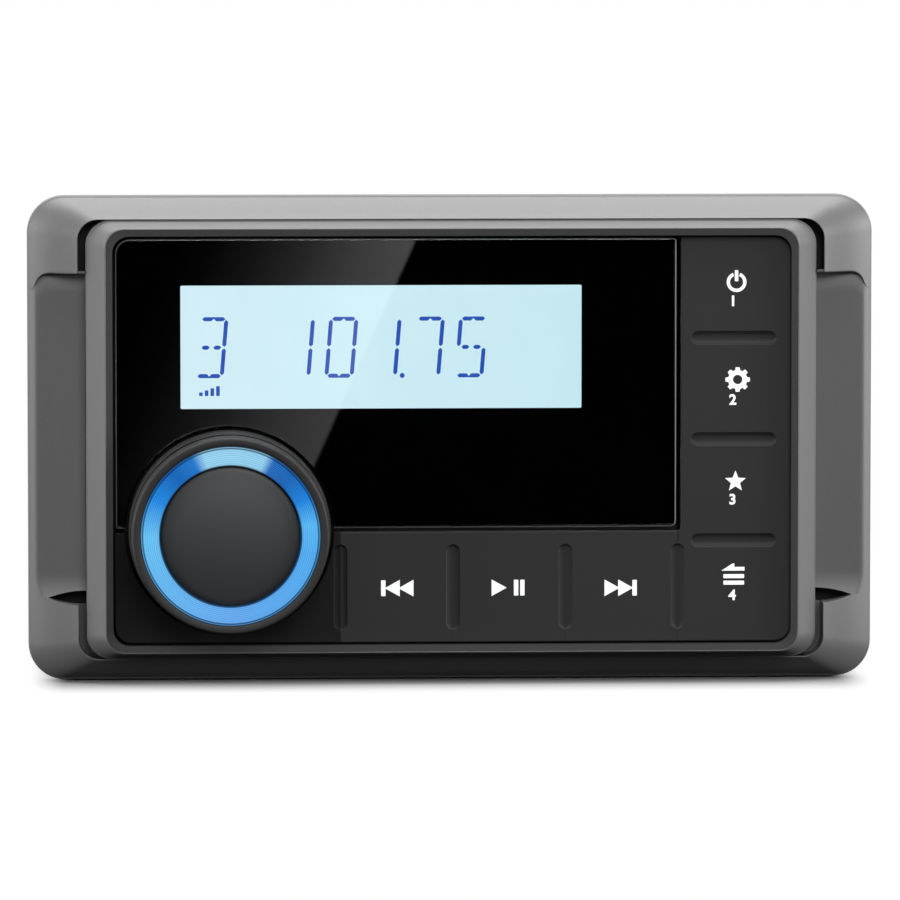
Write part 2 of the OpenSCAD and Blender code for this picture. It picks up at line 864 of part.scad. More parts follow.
module encoder_nut() {
    color(metal) front() translate([knob_u, knob_v, 0]) difference() {
        translate([0, 0, plate_key]) cylinder(d = nut_across / cos(30), h = nut_h, $fn = 6);
        bar(0, 0, bush_r + thread_fit, plate_key - over, plate_key + nut_h + over);
    }
}

// Slides with the shaft and works the push switch
module encoder_plunger() {
    top = rotor_z - shaft_foot - plunger_gap;
    color("#d9d4c6") front() bar(knob_u, knob_v, shaft_r - plunger_inset, top - plunger_t, top);
}

module encoder_shaft() {
    color(metal) front() translate([knob_u, knob_v, 0]) difference() {
        union() {
            bar(0, 0, shaft_r, rotor_z - shaft_foot, shaft_top);
            bar(0, 0, shaft_r + rotor_rim, rotor_z, rotor_z + rotor_t);
        }
        block(shaft_flat + shaft_r, 0, 2 * shaft_r, 3 * shaft_r, hub_foot, shaft_top + over);
    }
}

// Light pipe with the knob's hub: tube, web and D-shaped socket
module knob_ring() {
    flat_u = shaft_flat + thread_fit + shaft_r;
    color("#2f8df0") front() translate([knob_u, knob_v, 0]) difference() {
        union() {
            difference() {
                bar(0, 0, ring_r, ring_foot, knob_top - ring_drop);
                bar(0, 0, ring_in, ring_foot - over, knob_top + over);
            }
            bar(0, 0, ring_in + eps, web_z, web_z + web_t);
            bar(0, 0, shaft_r + hub_wall, hub_foot, hub_top);
        }
        difference() {
            bar(0, 0, shaft_r + thread_fit, hub_foot - over, hub_top - hub_roof);
            block(flat_u, 0, 2 * shaft_r, 3 * shaft_r, hub_foot - 2 * over, hub_top);
        }
    }
}

// Black outer sleeve: tapered side with a fine groove, and a rounded front edge
module knob_grip() {
    inner = ring_r + press_fit;
    shoulder = knob_r - knob_taper;
    line_z = knob_top - knob_edge - line_drop;
    function side_r(z) = knob_r - knob_taper * (z - knob_foot) / (knob_top - knob_edge - knob_foot);
    color("#232427") front() translate([knob_u, knob_v, 0]) rotate_extrude($fn = 96) union() {
        polygon([
            [inner, knob_foot],
            [knob_r, knob_foot],
            [side_r(line_z - line_w / 2), line_z - line_w / 2],
            [side_r(line_z) - line_d, line_z],
            [side_r(line_z + line_w / 2), line_z + line_w / 2],
            [shoulder, knob_top - knob_edge],
            [shoulder - knob_edge, knob_top],
            [inner, knob_top],
        ]);
        intersection() {
            translate([shoulder - knob_edge, knob_top - knob_edge]) circle(knob_edge);
            translate([shoulder - knob_edge, knob_top - knob_edge]) square(knob_edge);
        }
    }
}

module knob_cap() {
    cap_r = ring_in - press_fit;
    cap_t = 1.8;
    cap_wall = 1.2;
    web_top = web_z + web_t;
    dome_r = (cap_r * cap_r + cap_dome * cap_dome) / (2 * cap_dome);
    color("#303134") front() translate([knob_u, knob_v, 0]) {
        rotate_extrude($fn = 96) intersection() {
            translate([0, cap_top - cap_t]) square([cap_r, cap_t + over]);
            translate([0, cap_top - dome_r]) circle(dome_r, $fn = 360);
        }
        difference() {
            bar(0, 0, cap_r, web_top, cap_top - cap_t + eps);
            bar(0, 0, cap_r - cap_wall, web_top - over, cap_top);
        }
    }
}

// Sealing ring with the chassis's outline
module case_ring(z0, z1) {
    difference() {
        slab(chassis_w, chassis_h, chassis_r, z0, z1);
        slab(inner_w, inner_h, inner_r, z0 - over, z1 + over);
    }
}

module case_seal() { color("#141415") front() case_ring(chassis_front, frame_back); }

module rear_seal() { color("#141415") front() case_ring(cover_front, chassis_back); }

module chassis() {
    bulkhead_r = chassis_r - case_wall / 2;
    z0 = bulkhead_back - over;
    z1 = chassis_front + over;
    color(black_plastic) front() difference() {
        union() {
            case_ring(chassis_back, chassis_front);
            slab(inner_w + case_wall, inner_h + case_wall, bulkhead_r, bulkhead_back, chassis_front);
            at_corners(boss_u, boss_v) bar(0, 0, boss_r, chassis_back, chassis_back + boss_len);
        }
        // ribbon slot, chassis screws and rear cover screws
        block(ribbon_u, ribbon_slot_v, ribbon_slot_w, ribbon_slot_h, z0, z1);
        at_corners(post_u, case_post_v)
            bar(0, 0, case_screw_r + fit, z0, z1);
        at_corners(boss_u, boss_v)
            bar(0, 0, case_screw_r + thread_fit, chassis_back - over, chassis_back + boss_len - boss_floor);
    }
}

module case_screws() {
    color(metal) front() at_corners(post_u, case_post_v)
        screw(case_screw_r, bulkhead_back, bulkhead_t + screw_bite);
}

module rear_cover() {
    z0 = cover_back - over;
    z1 = cover_front + over;
    room = 2 * socket_fit;
    color(black_plastic) front() difference() {
        union() {
            slab(chassis_w, chassis_h, chassis_r, cover_back, cover_front);
            // posts that carry the main board
            main_places() bar(0, 0, boss_r, cover_front - eps, main_back);
        }
        at_corners(boss_u, boss_v) bar(0, 0, case_screw_r + fit, z0, z1);
        main_places()
            bar(0, 0, small_screw_r + thread_fit, main_back - screw_bite - over, main_back + over);
        translate([sink_u, 0, 0]) {
            block(0, 0, pedestal_w + 2 * fit, pedestal_h + 2 * fit, z0, z1);
            at_corners(sink_screw_u, sink_screw_v) bar(0, 0, case_screw_r + thread_fit, z0, z1);
        }
        // sockets
        block(harness_u, harness_v, harness_w + room, harness_h + room, z0, z1);
        block(rca_u, rca_v, rca_side + room, rca_side + room, z0, z1);
        block(usb_u, usb_v, usb_w + room, usb_h + room, z0, z1);
        bar(antenna_u, antenna_v, antenna_r + socket_fit, z0, z1);
    }
}

module rear_screws() {
    color(metal) front() at_corners(boss_u, boss_v)
        screw(case_screw_r, cover_back, cover_t + seal_t + screw_bite);
}

// Places of the main board's screws, clear of the corner bosses
module main_places() { at_corners(post_u, main_post_v) children(); }

module main_board() {
    color(board_green) front() difference() {
        slab(inner_w - 2 * main_gap, inner_h - 2 * main_gap, main_r, main_back, main_front);
        at_corners(boss_u, boss_v)
            block(0, 0, main_notch, main_notch, main_back - over, main_front + over);
        main_places() bar(0, 0, small_screw_r + fit, main_back - over, main_front + over);
    }
}

// These screws point backwards, so their heads lie in front of the board
module main_board_screws() {
    color(metal) front() main_places() mirror([0, 0, 1])
        screw(small_screw_r, -main_front, board_t + screw_bite);
}

module amplifier_chip() {
    color("#17181a") front() block(sink_u, 0, chip_w, chip_h, chip_face, main_back);
}

module thermal_pad() {
    color("#9db4c4") front() block(sink_u, 0, chip_w, chip_h, pad_face, chip_face);
}

// Extruded base with fins outside and a pedestal that reaches the amplifier
module heat_sink() {
    fin_pitch = (fin_field - fin_t) / (fin_count - 1);
    fin_u = -fin_field / 2 + fin_t / 2;
    color("#8f9499") front() translate([sink_u, 0, 0]) difference() {
        union() {
            block(0, 0, sink_w, sink_h, fin_root, sink_face);
            block(0, 0, pedestal_w, pedestal_h, sink_face - eps, pad_face - chip_step);
            block(0, 0, chip_w + 2 * chip_rim, chip_h + 2 * chip_rim, sink_face, pad_face);
            for (i = [0:fin_count - 1])
                block(fin_u + i * fin_pitch, 0, fin_t, sink_h, fin_root - fin_len, fin_root + eps);
        }
        at_corners(sink_screw_u, sink_screw_v)
            bar(0, 0, case_screw_r + fit, fin_root - over, sink_face + over);
    }
}

module heat_sink_seal() {
    z0 = sink_face - over;
    z1 = cover_back + over;
    color("#141415") front() translate([sink_u, 0, 0]) difference() {
        block(0, 0, sink_w, sink_h, sink_face, cover_back);
        block(0, 0, pedestal_w + 2 * fit, pedestal_h + 2 * fit, z0, z1);
        at_corners(sink_screw_u, sink_screw_v) bar(0, 0, case_screw_r + fit, z0, z1);
    }
}

module heat_sink_screws() {
    tip_gap = 0.5;
    color(metal) front() translate([sink_u, 0, 0]) at_corners(sink_screw_u, sink_screw_v)
        screw(case_screw_r, fin_root, sink_base + sink_seal_t + cover_t - tip_gap);
}

module capacitors() {
    color("#2b3550") front() for (i = [-1:1])
        bar(sink_u + i * (2 * can_r + can_gap), can_v, can_r, main_front, main_front + can_h);
}

module inductor() {
    color(copper) front() translate([sink_u, coil_v, main_front + coil_r])
        rotate_extrude() translate([coil_ring, 0]) circle(coil_r);
}

module tuner_module() {
    color(metal) front()
        block(antenna_u - tuner_shift, tuner_v, tuner_w, tuner_h, main_front, main_front + tuner_t);
}

module ribbon_headers() {
    color("#e6e1d2") front() {
        block(ribbon_u, ribbon_front_v, header_w, header_d, board_back - header_h, board_back);
        block(ribbon_u, ribbon_rear_v, header_w, header_d, main_front, main_front + header_h);
    }
}

// Flat cable between the two boards, in one easy bend
module ribbon_cable() {
    steps = 16;
    z0 = main_front + header_h;
    z1 = board_back - header_h;
    function ease(t) = t * t * (3 - 2 * t);
    function path_v(t) = ribbon_rear_v + (ribbon_front_v - ribbon_rear_v) * ease(t);
    near = [for (i = [0:steps]) [path_v(i / steps) - ribbon_t / 2, z0 + (z1 - z0) * i / steps]];
    far = [for (i = [steps:-1:0]) [path_v(i / steps) + ribbon_t / 2, z0 + (z1 - z0) * i / steps]];
    color("#d7dade") front() translate([ribbon_u - ribbon_w / 2, 0, 0]) rotate([90, 0, 90])
        linear_extrude(ribbon_w) polygon(concat(near, far));
}

module harness_socket() {
    cavity_w = harness_w - 2 * harness_wall;
    cavity_h = harness_h - 2 * harness_wall;
    color("#ece7da") front() difference() {
        block(harness_u, harness_v, harness_w, harness_h, harness_mouth, main_back);
        block(harness_u, harness_v, cavity_w, cavity_h, harness_mouth - over, harness_floor);
    }
}

module harness_pins() {
    first_u = harness_u - (pin_count - 1) / 2 * pin_pitch;
    color("#cdb36a") front() for (i = [0:pin_count - 1], s = [-1, 1])
        block(first_u + i * pin_pitch, harness_v + s * pin_row, pin_side, pin_side,
              harness_floor - pin_len, harness_floor);
}

// Places of the four phono sockets
module rca_places() {
    translate([rca_u, rca_v, 0]) at_corners(rca_pitch / 2, rca_pitch / 2) children();
}

module rca_block() {
    color(black_plastic) front() difference() {
        block(rca_u, rca_v, rca_side, rca_side, cover_back, main_back);
        rca_places() bar(0, 0, rca_stem + thread_fit, cover_back - over, cover_back + rca_root + fit);
    }
}

module rca_sleeves() {
    mouth_z = cover_back - rca_out;
    color("#c9a94e") front() rca_places() difference() {
        union() {
            bar(0, 0, rca_r, mouth_z, cover_back);
            bar(0, 0, rca_stem, cover_back - eps, cover_back + rca_root);
        }
        bar(0, 0, rca_r - rca_wall, mouth_z - over, mouth_z + rca_recess);
        bar(0, 0, rca_bore, mouth_z - over, cover_back + rca_root / 2);
    }
}

module usb_socket() {
    mouth_z = cover_back - usb_out;
    color(metal) front() difference() {
        block(usb_u, usb_v, usb_w, usb_h, mouth_z, main_back);
        difference() {
            block(usb_u, usb_v, usb_w - 2 * usb_wall, usb_h - 2 * usb_wall,
                  mouth_z - over, mouth_z + usb_depth);
            block(usb_u, usb_v + usb_tongue_up, usb_w - 4 * usb_wall, usb_tongue_t,
                  mouth_z + usb_tongue_in, mouth_z + usb_depth + over);
        }
    }
}

module antenna_socket() {
    color(metal) front() translate([antenna_u, antenna_v, 0]) difference() {
        bar(0, 0, antenna_r, antenna_face, main_back);
        bar(0, 0, antenna_bore, antenna_face - over, antenna_face + antenna_depth);
        bar(0, 0, antenna_pin_r, antenna_face, antenna_face + antenna_pin_depth);
    }
}

trim_bezel();
front_frame();
panel_gasket();
lens();
lens_mask();
lcd_panel();
lcd_backlight();
lcd_holder();
keypad_mat();
for (i = [0:len(KEY_NAMES) - 1]) {
    key(KEY_BOXES[i]);
    pill(KEY_BOXES[i]);
}
control_board();
key_contacts();
ring_leds();
ring_light_guide();
board_screws();
encoder_body();
encoder_nut();
encoder_plunger();
encoder_shaft();
knob_ring();
knob_grip();
knob_cap();
case_seal();
chassis();
case_screws();
rear_seal();
rear_cover();
rear_screws();
main_board();
main_board_screws();
amplifier_chip();
thermal_pad();
heat_sink();
heat_sink_seal();
heat_sink_screws();
capacitors();
inductor();
tuner_module();
ribbon_headers();
ribbon_cable();
harness_socket();
harness_pins();
rca_block();
rca_sleeves();
usb_socket();
antenna_socket();
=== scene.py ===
"""Looks of a flush-mount marine stereo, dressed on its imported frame.

Panel millimetres are used throughout: u runs to the viewer's right, v upwards
and w out of the panel, towards the viewer.
"""

import json
import math
from types import SimpleNamespace

import bmesh
import bpy
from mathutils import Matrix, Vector

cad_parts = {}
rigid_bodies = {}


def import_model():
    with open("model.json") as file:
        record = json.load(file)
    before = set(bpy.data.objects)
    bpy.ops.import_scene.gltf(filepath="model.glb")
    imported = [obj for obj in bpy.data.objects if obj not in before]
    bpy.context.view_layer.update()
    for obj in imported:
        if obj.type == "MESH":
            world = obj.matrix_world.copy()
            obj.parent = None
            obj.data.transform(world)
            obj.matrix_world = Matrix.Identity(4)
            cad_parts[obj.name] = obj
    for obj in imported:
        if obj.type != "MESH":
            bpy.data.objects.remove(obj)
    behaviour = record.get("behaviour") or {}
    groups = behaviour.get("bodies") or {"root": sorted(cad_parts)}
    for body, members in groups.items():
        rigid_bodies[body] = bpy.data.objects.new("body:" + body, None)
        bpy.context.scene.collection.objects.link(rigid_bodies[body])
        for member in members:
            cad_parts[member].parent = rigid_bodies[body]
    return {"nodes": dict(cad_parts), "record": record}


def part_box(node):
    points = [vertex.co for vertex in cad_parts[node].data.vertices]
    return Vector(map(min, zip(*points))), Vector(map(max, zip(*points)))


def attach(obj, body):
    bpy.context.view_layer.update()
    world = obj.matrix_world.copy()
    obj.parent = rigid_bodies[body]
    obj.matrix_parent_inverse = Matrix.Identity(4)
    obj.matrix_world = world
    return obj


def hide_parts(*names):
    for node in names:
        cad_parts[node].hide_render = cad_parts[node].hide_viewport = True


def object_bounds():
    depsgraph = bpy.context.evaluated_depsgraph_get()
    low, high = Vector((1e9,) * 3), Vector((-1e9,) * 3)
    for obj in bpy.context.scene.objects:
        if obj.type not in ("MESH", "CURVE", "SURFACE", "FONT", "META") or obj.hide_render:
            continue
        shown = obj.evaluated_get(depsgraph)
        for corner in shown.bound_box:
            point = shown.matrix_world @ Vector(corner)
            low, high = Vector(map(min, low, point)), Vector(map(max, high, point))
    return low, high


bl_info = {
    "name": "Marine stereo looks",
    "version": (1, 0, 0),
    "blender": (4, 5, 0),
    "location": "View3D > Sidebar > Stereo",
    "description": "Dresses the packed marine stereo with finished pieces and a studio",
    "category": "Object",
}

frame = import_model()
CAD_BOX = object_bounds()
MM = 0.001
TURN = 2 * math.pi
KEYS = ("source", "settings", "favourite", "back", "previous", "play", "next")
MATERIALS = {}


def extents(node):
    """A CAD node's box in panel millimetres: u0, u1, v0, v1, back, front."""
    low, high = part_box(node)
    return (low.x / MM, high.x / MM, low.z / MM, high.z / MM, -high.y / MM, -low.y / MM)


def centre_of(node):
    """The middle of a CAD node, in panel millimetres."""
    u0, u1, v0, v1 = extents(node)[:4]
    return (u0 + u1) / 2, (v0 + v1) / 2


def world(u, v, w):
    """A point of the panel, in the frame's metres."""
    return Vector((u, -w, v)) * MM


# Settings


def length(label, text, value):
    """A size in millimetres that a user may change, stored in metres."""
    look = {"subtype": "DISTANCE", "unit": "LENGTH", "precision": 5}
    return bpy.props.FloatProperty(name=label, description=text, default=value * MM, min=0, **look)


def count(label, text, value, least):
    """A number that a user may change."""
    return bpy.props.IntProperty(name=label, description=text, default=value, min=least)


def angle(label, text, degrees):
    """An angle that a user may change."""
    look = {"subtype": "ANGLE", "unit": "ROTATION"}
    return bpy.props.FloatProperty(name=label, description=text, default=math.radians(degrees), **look)


def power(label, watts):
    """The power of a lamp."""
    return bpy.props.FloatProperty(name=label, description="Power in watts", default=watts, unit="POWER")


def in_mm(settings):
    """The values of a settings group, with its sizes in millimetres."""
    values = {name: getattr(settings, name) for name in settings.__annotations__}
    return SimpleNamespace(**{k: v / MM if isinstance(v, float) else v for k, v in values.items()})


# Outlines in panel millimetres


def arc(u, v, r, start, end, steps):
    """Points of an arc, with angles in degrees."""
    angles = [math.radians(start + (end - start) * i / steps) for i in range(steps + 1)]
    return [(u + r * math.cos(a), v + r * math.sin(a)) for a in angles]


def rounded(w, h, r, side_v=(), steps=12):
    """A rounded rectangle round the middle, with extra points on both upright sides."""
    points = []
    for su, sv, start in ((1, -1, 270), (1, 1, 0), (-1, 1, 90), (-1, -1, 180)):
        points += arc(su * (w / 2 - r), sv * (h / 2 - r), r, start, start + 90, steps)
        if su > sv:
            points += [(w / 2, v) for v in side_v]
        if sv > su:
            points += [(-w / 2, v) for v in reversed(side_v)]
    return points


def box_loop(u0, u1, v0, v1, r=0.3, steps=4):
    """A rounded rectangle between two corners."""
    mid_u, mid_v = (u0 + u1) / 2, (v0 + v1) / 2
    return [(mid_u + u, mid_v + v) for u, v in rounded(u1 - u0, v1 - v0, r, steps=steps)]


def circle(u, v, r, steps=48):
    """A round loop."""
    return arc(u, v, r, 0, 360, steps)[:-1]


def inset(loop, distance):
    """A loop moved inwards, corner by corner."""
    moved = []
    for i, point in enumerate(loop):
        here = Vector(point)
        before = (here - Vector(loop[i - 1])).normalized()
        after = (Vector(loop[(i + 1) % len(loop)]) - here).normalized()
        side = Vector((-before.y, before.x))
        middle = (side + Vector((-after.y, after.x))).normalized()
        moved.append(tuple(here + middle * distance / max(middle.dot(side), 0.35)))
    return moved


def level(loop, w):
    """A loop at one height."""
    return [(u, v, w) for u, v in loop]


def soft_edge(r, angles):
    """Steps round a soft edge: how far each is drawn in, and how far it rises."""
    turns = [math.radians(a) for a in angles]
    return [(r * (1 - math.cos(a)), r * math.sin(a)) for a in turns]


def between(start, end, t):
    """Values part of the way from one list to another."""
    return [a + (b - a) * t for a, b in zip(start, end)]


def smooth_min(a, b, blend):
    """The lower of two heights, with a rounded change between them."""
    near = max(blend - abs(a - b), 0) / blend
    return min(a, b) - near * near * blend / 4


# Meshes


def loft(rings, bm=None, closed=False, kinds=None):
    """Skin through rings of matching points, capped at both ends or closed on itself."""
    bm = bm or bmesh.new()
    rows = [[bm.verts.new(world(*point)) for point in ring] for ring in rings]
    following = rows[1:] + (rows[:1] if closed else [])
    size = len(rows[0])
    for k, (low, high) in enumerate(zip(rows, following)):
        for i in range(size):
            j = (i + 1) % size
            face = bm.faces.new((low[i], low[j], high[j], high[i]))
            face.material_index = kinds[k] if kinds else 0
    if not closed:
        bm.faces.new(rows[0][::-1])
        bm.faces.new(rows[-1])
    return bm


def plate(outer, holes, back, front, bm=None, kind=0):
    """A flat plate with holes."""
    bm = bm or bmesh.new()
    edges = []
    for loop in [outer] + list(holes):
        points = [bm.verts.new(world(u, v, back)) for u, v in loop]
        edges += [bm.edges.new((points[i - 1], points[i])) for i in range(len(points))]
    filled = bmesh.ops.triangle_fill(bm, edges=edges, use_beauty=True)["geom"]
    faces = [item for item in filled if isinstance(item, bmesh.types.BMFace)]
    lifted = bmesh.ops.extrude_face_region(bm, geom=faces)["geom"]
    points = [item for item in lifted if isinstance(item, bmesh.types.BMVert)]
    bmesh.ops.translate(bm, verts=points, vec=world(0, 0, front - back))
    for face in {f for p in points for f in p.link_faces} | set(faces):
        face.material_index = kind
    return bm


def turned(axis, profile, steps, bm=None, **options):
    """A solid turned about an axis. The profile lists radius and height."""
    return loft([level(circle(*axis, r, steps), w) for r, w in profile], bm, **options)


# An edge of a CAD node that turns by more than this many degrees is sharp
SHARP = 40


def bevelled(node, width):
    """A copy of a CAD node with its sharp edges rounded, as a bmesh."""
    bm = bmesh.new()
    bm.from_mesh(frame["nodes"][node].data)
    bmesh.ops.remove_doubles(bm, verts=bm.verts, dist=2e-6)
    bmesh.ops.dissolve_limit(bm, angle_limit=math.radians(1), verts=bm.verts, edges=bm.edges)
    sharp = [e for e in bm.edges if len(e.link_faces) == 2 and e.calc_face_angle(0) > math.radians(SHARP)]
    form = {"segments": 2, "profile": 0.5, "affect": "EDGES", "clamp_overlap": True}
    bmesh.ops.bevel(bm, geom=sharp, offset=width * MM, **form)
    return bm


def keep(name, bm, finishes, crease=32):
    """Turns a bmesh into a shaded object: merged, facing outwards, with sharp edges kept."""
    bmesh.ops.remove_doubles(bm, verts=bm.verts, dist=1e-6)
    bmesh.ops.dissolve_degenerate(bm, edges=bm.edges, dist=1e-6)
    bmesh.ops.recalc_face_normals(bm, faces=bm.faces)
    for face in bm.faces:
        face.smooth = len(face.verts) <= 4
        face.material_index = min(face.material_index, max(len(finishes) - 1, 0))
    for edge in bm.edges:
        edge.smooth = len(edge.link_faces) == 2 and edge.calc_face_angle(0) < math.radians(crease)
    mesh = bpy.data.meshes.new(name)
    bm.to_mesh(mesh)
    bm.free()
    for finish in finishes:
        mesh.materials.append(MATERIALS[finish])
    piece = bpy.data.objects.new(name, mesh)
    bpy.context.collection.objects.link(piece)
    return piece


def taken(piece, *spares):
    """A piece's final mesh as a bmesh. The piece and its spares are used up."""
    mesh = bpy.data.meshes.new_from_object(piece.evaluated_get(bpy.context.evaluated_depsgraph_get()))
    bm = bmesh.new()
    bm.from_mesh(mesh)
    bpy.data.meshes.remove(mesh)
    for spare in (piece,) + spares:
        data = spare.data
        bpy.data.objects.remove(spare)
        bpy.data.batch_remove([data])
    return bm


def cut(piece, cutter):
    """A piece with a cutter taken out of it, as a bmesh."""
    modifier = piece.modifiers.new("Cut", "BOOLEAN")
    modifier.operation = "DIFFERENCE"
    modifier.solver = "EXACT"
    modifier.object = cutter
    return taken(piece, cutter)


def repeat_tree():
    """Geometry Nodes: an item on every point, made one mesh."""
    tree = bpy.data.node_groups.new("Repeat on points", "GeometryNodeTree")
    for label, kind in (("Points", "Geometry"), ("Item", "Object"), ("Size", "Float")):
        tree.interface.new_socket(label, in_out="INPUT", socket_type="NodeSocket" + kind)
    tree.interface.new_socket("Geometry", in_out="OUTPUT", socket_type="NodeSocketGeometry")
    start = add(tree, "NodeGroupInput").outputs
    item = add(tree, "GeometryNodeObjectInfo", links={"Object": start["Item"]})
    links = {"Points": start["Points"], "Instance": item.outputs["Geometry"], "Scale": start["Size"]}
    placed = add(tree, "GeometryNodeInstanceOnPoints", links=links)
    real = add(tree, "GeometryNodeRealizeInstances", links={"Geometry": placed.outputs["Instances"]})
    add(tree, "NodeGroupOutput", links={"Geometry": real.outputs["Geometry"]})
    return tree


def repeated(item, places, size=1.0):
    """An item repeated at places in panel millimetres, as one bmesh. The item is used up."""
    tree = bpy.data.node_groups.get("Repeat on points") or repeat_tree()
    points = bpy.data.meshes.new("points")
    points.from_pydata([world(*place) for place in places], [], [])
    holder = bpy.data.objects.new("points", points)
    bpy.context.collection.objects.link(holder)
    modifier = holder.modifiers.new("Repeat", "NODES")
    modifier.node_group = tree
    sockets = {s.name: s.identifier for s in tree.interface.items_tree if s.in_out == "INPUT"}
    modifier[sockets["Item"]] = item
    modifier[sockets["Size"]] = size
    return taken(holder, item)


def hand_over(name, bm, body, slot, *nodes, finishes=None, crease=32):
    """Puts a finished piece on its body, in place of the CAD nodes it stands for."""
    piece = keep(name, bm, finishes or [slot], crease)
    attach(piece, body)
    if nodes:
        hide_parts(*nodes)


# Shader nodes


def linear(code):
    """An sRGB hex colour as linear red, green, blue and alpha."""
    parts = [int(code[i : i + 2], 16) / 255 for i in (1, 3, 5)]
    return tuple(c / 12.92 if c <= 0.04045 else ((c + 0.055) / 1.055) ** 2.4 for c in parts) + (1.0,)


def add(tree, kind, values=None, links=None, **settings):
    """Adds one node with its settings, input values and links."""
    node = tree.nodes.new(kind)
    for name, value in settings.items():
        setattr(node, name, value)
    for name, value in (values or {}).items():
        node.inputs[name].default_value = value
    for name, source in (links or {}).items():
        tree.links.new(source, node.inputs[name])
    return node


def reckon(tree, kind, operation, terms):
    """A math node on terms that are outputs of other nodes or plain values."""
    linked = {i: term for i, term in enumerate(terms) if isinstance(term, bpy.types.NodeSocket)}
    plain = {i: term for i, term in enumerate(terms) if i not in linked}
    return add(tree, kind, plain, linked, operation=operation).outputs


def maths(tree, operation, *terms):
    """A number reckoned from numbers."""
    return reckon(tree, "ShaderNodeMath", operation, terms)["Value"]


def vectors(tree, operation, *terms):
    """A vector reckoned from vectors, or their length or dot product."""
    single = operation in ("LENGTH", "DOT_PRODUCT")
    return reckon(tree, "ShaderNodeVectorMath", operation, terms)["Value" if single else "Vector"]


def remapped(tree, value, low=0.0, high=1.0, to_low=0.0, to_high=1.0, **settings):
    """A number taken from one range to another."""
    values = {"From Min": low, "From Max": high, "To Min": to_low, "To Max": to_high}
    return add(tree, "ShaderNodeMapRange", values, {"Value": value}, **settings).outputs["Result"]


def ramped(tree, value, stops):
    """A colour that follows a number, from stops of place and hex colour or grey."""
    node = add(tree, "ShaderNodeValToRGB", links={"Fac": value})
    stops = [(spot, linear(c) if isinstance(c, str) else (c, c, c, 1)) for spot, c in stops]
    elements = node.color_ramp.elements
    for element, (spot, colour) in zip((elements[0], elements[-1]), (stops[0], stops[-1])):
        element.position = spot
        element.color = colour
    for spot, colour in stops[1:-1]:
        elements.new(spot).color = colour
    return node.outputs["Color"]


def coords(tree):
    """A piece's own coordinates, in metres."""
    return add(tree, "ShaderNodeTexCoord").outputs["Object"]


def mottle(tree, grain, detail=2.0, rough=0.5):
    """Fine noise with a grain in millimetres."""
    values = {"Scale": 1 / (grain * MM), "Detail": detail, "Roughness": rough}
    return add(tree, "ShaderNodeTexNoise", values, {"Vector": coords(tree)}).outputs["Fac"]


def split(tree, vector):
    """The parts of a vector."""
    return add(tree, "ShaderNodeSeparateXYZ", links={"Vector": vector}).outputs


def new_material(name):
    """An empty material and its node tree."""
    material = bpy.data.materials.new(name)
    material.use_nodes = True
    material.node_tree.nodes.clear()
    return material, material.node_tree


def shade(tree, values, links):
    """Ends a material with a principled shader."""
    body = add(tree, "ShaderNodeBsdfPrincipled", values, links)
    add(tree, "ShaderNodeOutputMaterial", links={"Surface": body.outputs["BSDF"]})


# Materials


def surface(name, dark, light, grain, depth, rough, gloss=0.5, metal=0.0):
    """A finish with a fine mottle between two colours and a fine bump, both of one grain in millimetres."""
    material, tree = new_material(name)
    noise = mottle(tree, grain, 3.0, 0.6)
    colour = ramped(tree, noise, ((0.3, dark), (0.7, light)))
    bump = add(tree, "ShaderNodeBump", {"Strength": 0.5, "Distance": depth * MM}, {"Height": noise})
    values = {"Roughness": rough, "Specular IOR Level": gloss, "Metallic": metal}
    shade(tree, values, {"Base Color": colour, "Normal": bump.outputs["Normal"]})
    return material


def clear_acrylic():
    """Polished acrylic: clear, with a sharp reflection of whatever stands in front."""
    material, tree = new_material("Polished acrylic")
    tint = ramped(tree, mottle(tree, 9), ((0, "#f6f9fb"), (1, "#ffffff")))
    shade(tree, {"Roughness": 0.0, "IOR": 1.49, "Transmission Weight": 1.0}, {"Base Color": tint})
    return material


def lit(tree, base, rough, strength, colour, **values):
    """Ends a material with a surface that glows in a colour of its own."""
    values = {"Base Color": linear(base), "Roughness": rough, "Emission Strength": strength, **values}
    shade(tree, values, {"Emission Color": colour})


def lit_display():
    """Backlit liquid crystal glass: an even pale cyan glow, a little deeper towards the right."""
    material, tree = new_material("Backlit display glass")
    u0, u1 = extents("lcd_panel")[:2]
    run = remapped(tree, split(tree, coords(tree))["X"], u0 * MM, u1 * MM)
    lit(tree, "#0c1012", 0.4, 1.08, ramped(tree, run, ((0, "#d3eef6"), (1, "#c6e9f0"))))
    return material


def glowing(name, dark, light, grain, strength, base, rough):
    """A backlit or printed sign that glows in an even colour of its own with a faint mottle; on printed signs
    the glow is painted light.
    """
    material, tree = new_material(name)
    lit(tree, base, rough, strength, ramped(tree, mottle(tree, grain), ((0, dark), (1, light))))
    return material


# Glow round the light ring, paler where painted highlights stand at the top, the bottom and the sides: angle
# from the right in degrees, and colour
RING_GLOW_AND_HIGHLIGHTS = (
    (-180, "#6cc6f8"),
    (-90, "#64abf0"),
    (-12, "#56b0f4"),
    (8, "#5cbcf8"),
    (26, "#1a84df"),
    (45, "#0c62b4"),
    (60, "#0e68bb"),
    (66, "#93d0ef"),
    (108, "#9bd6f1"),
    (116, "#1a7acf"),
    (132, "#0c64b8"),
    (154, "#1f8ae2"),
    (180, "#6cc6f8"),
)
# Share of that glow across the ring, from its inner to its outer edge: painted shade at both edges and in a
# line near the outer edge
RING_SHADE = (
    (0.0, 0.06),
    (0.04, 0.2),
    (0.09, 0.95),
    (0.5, 1.0),
    (0.87, 0.95),
    (0.89, 0.14),
    (0.93, 0.14),
    (0.95, 0.75),
    (0.975, 0.7),
    (1.0, 0.1),
)
# Distance between the turned lines painted into that glow as light and shade
LINE_PITCH = 0.33


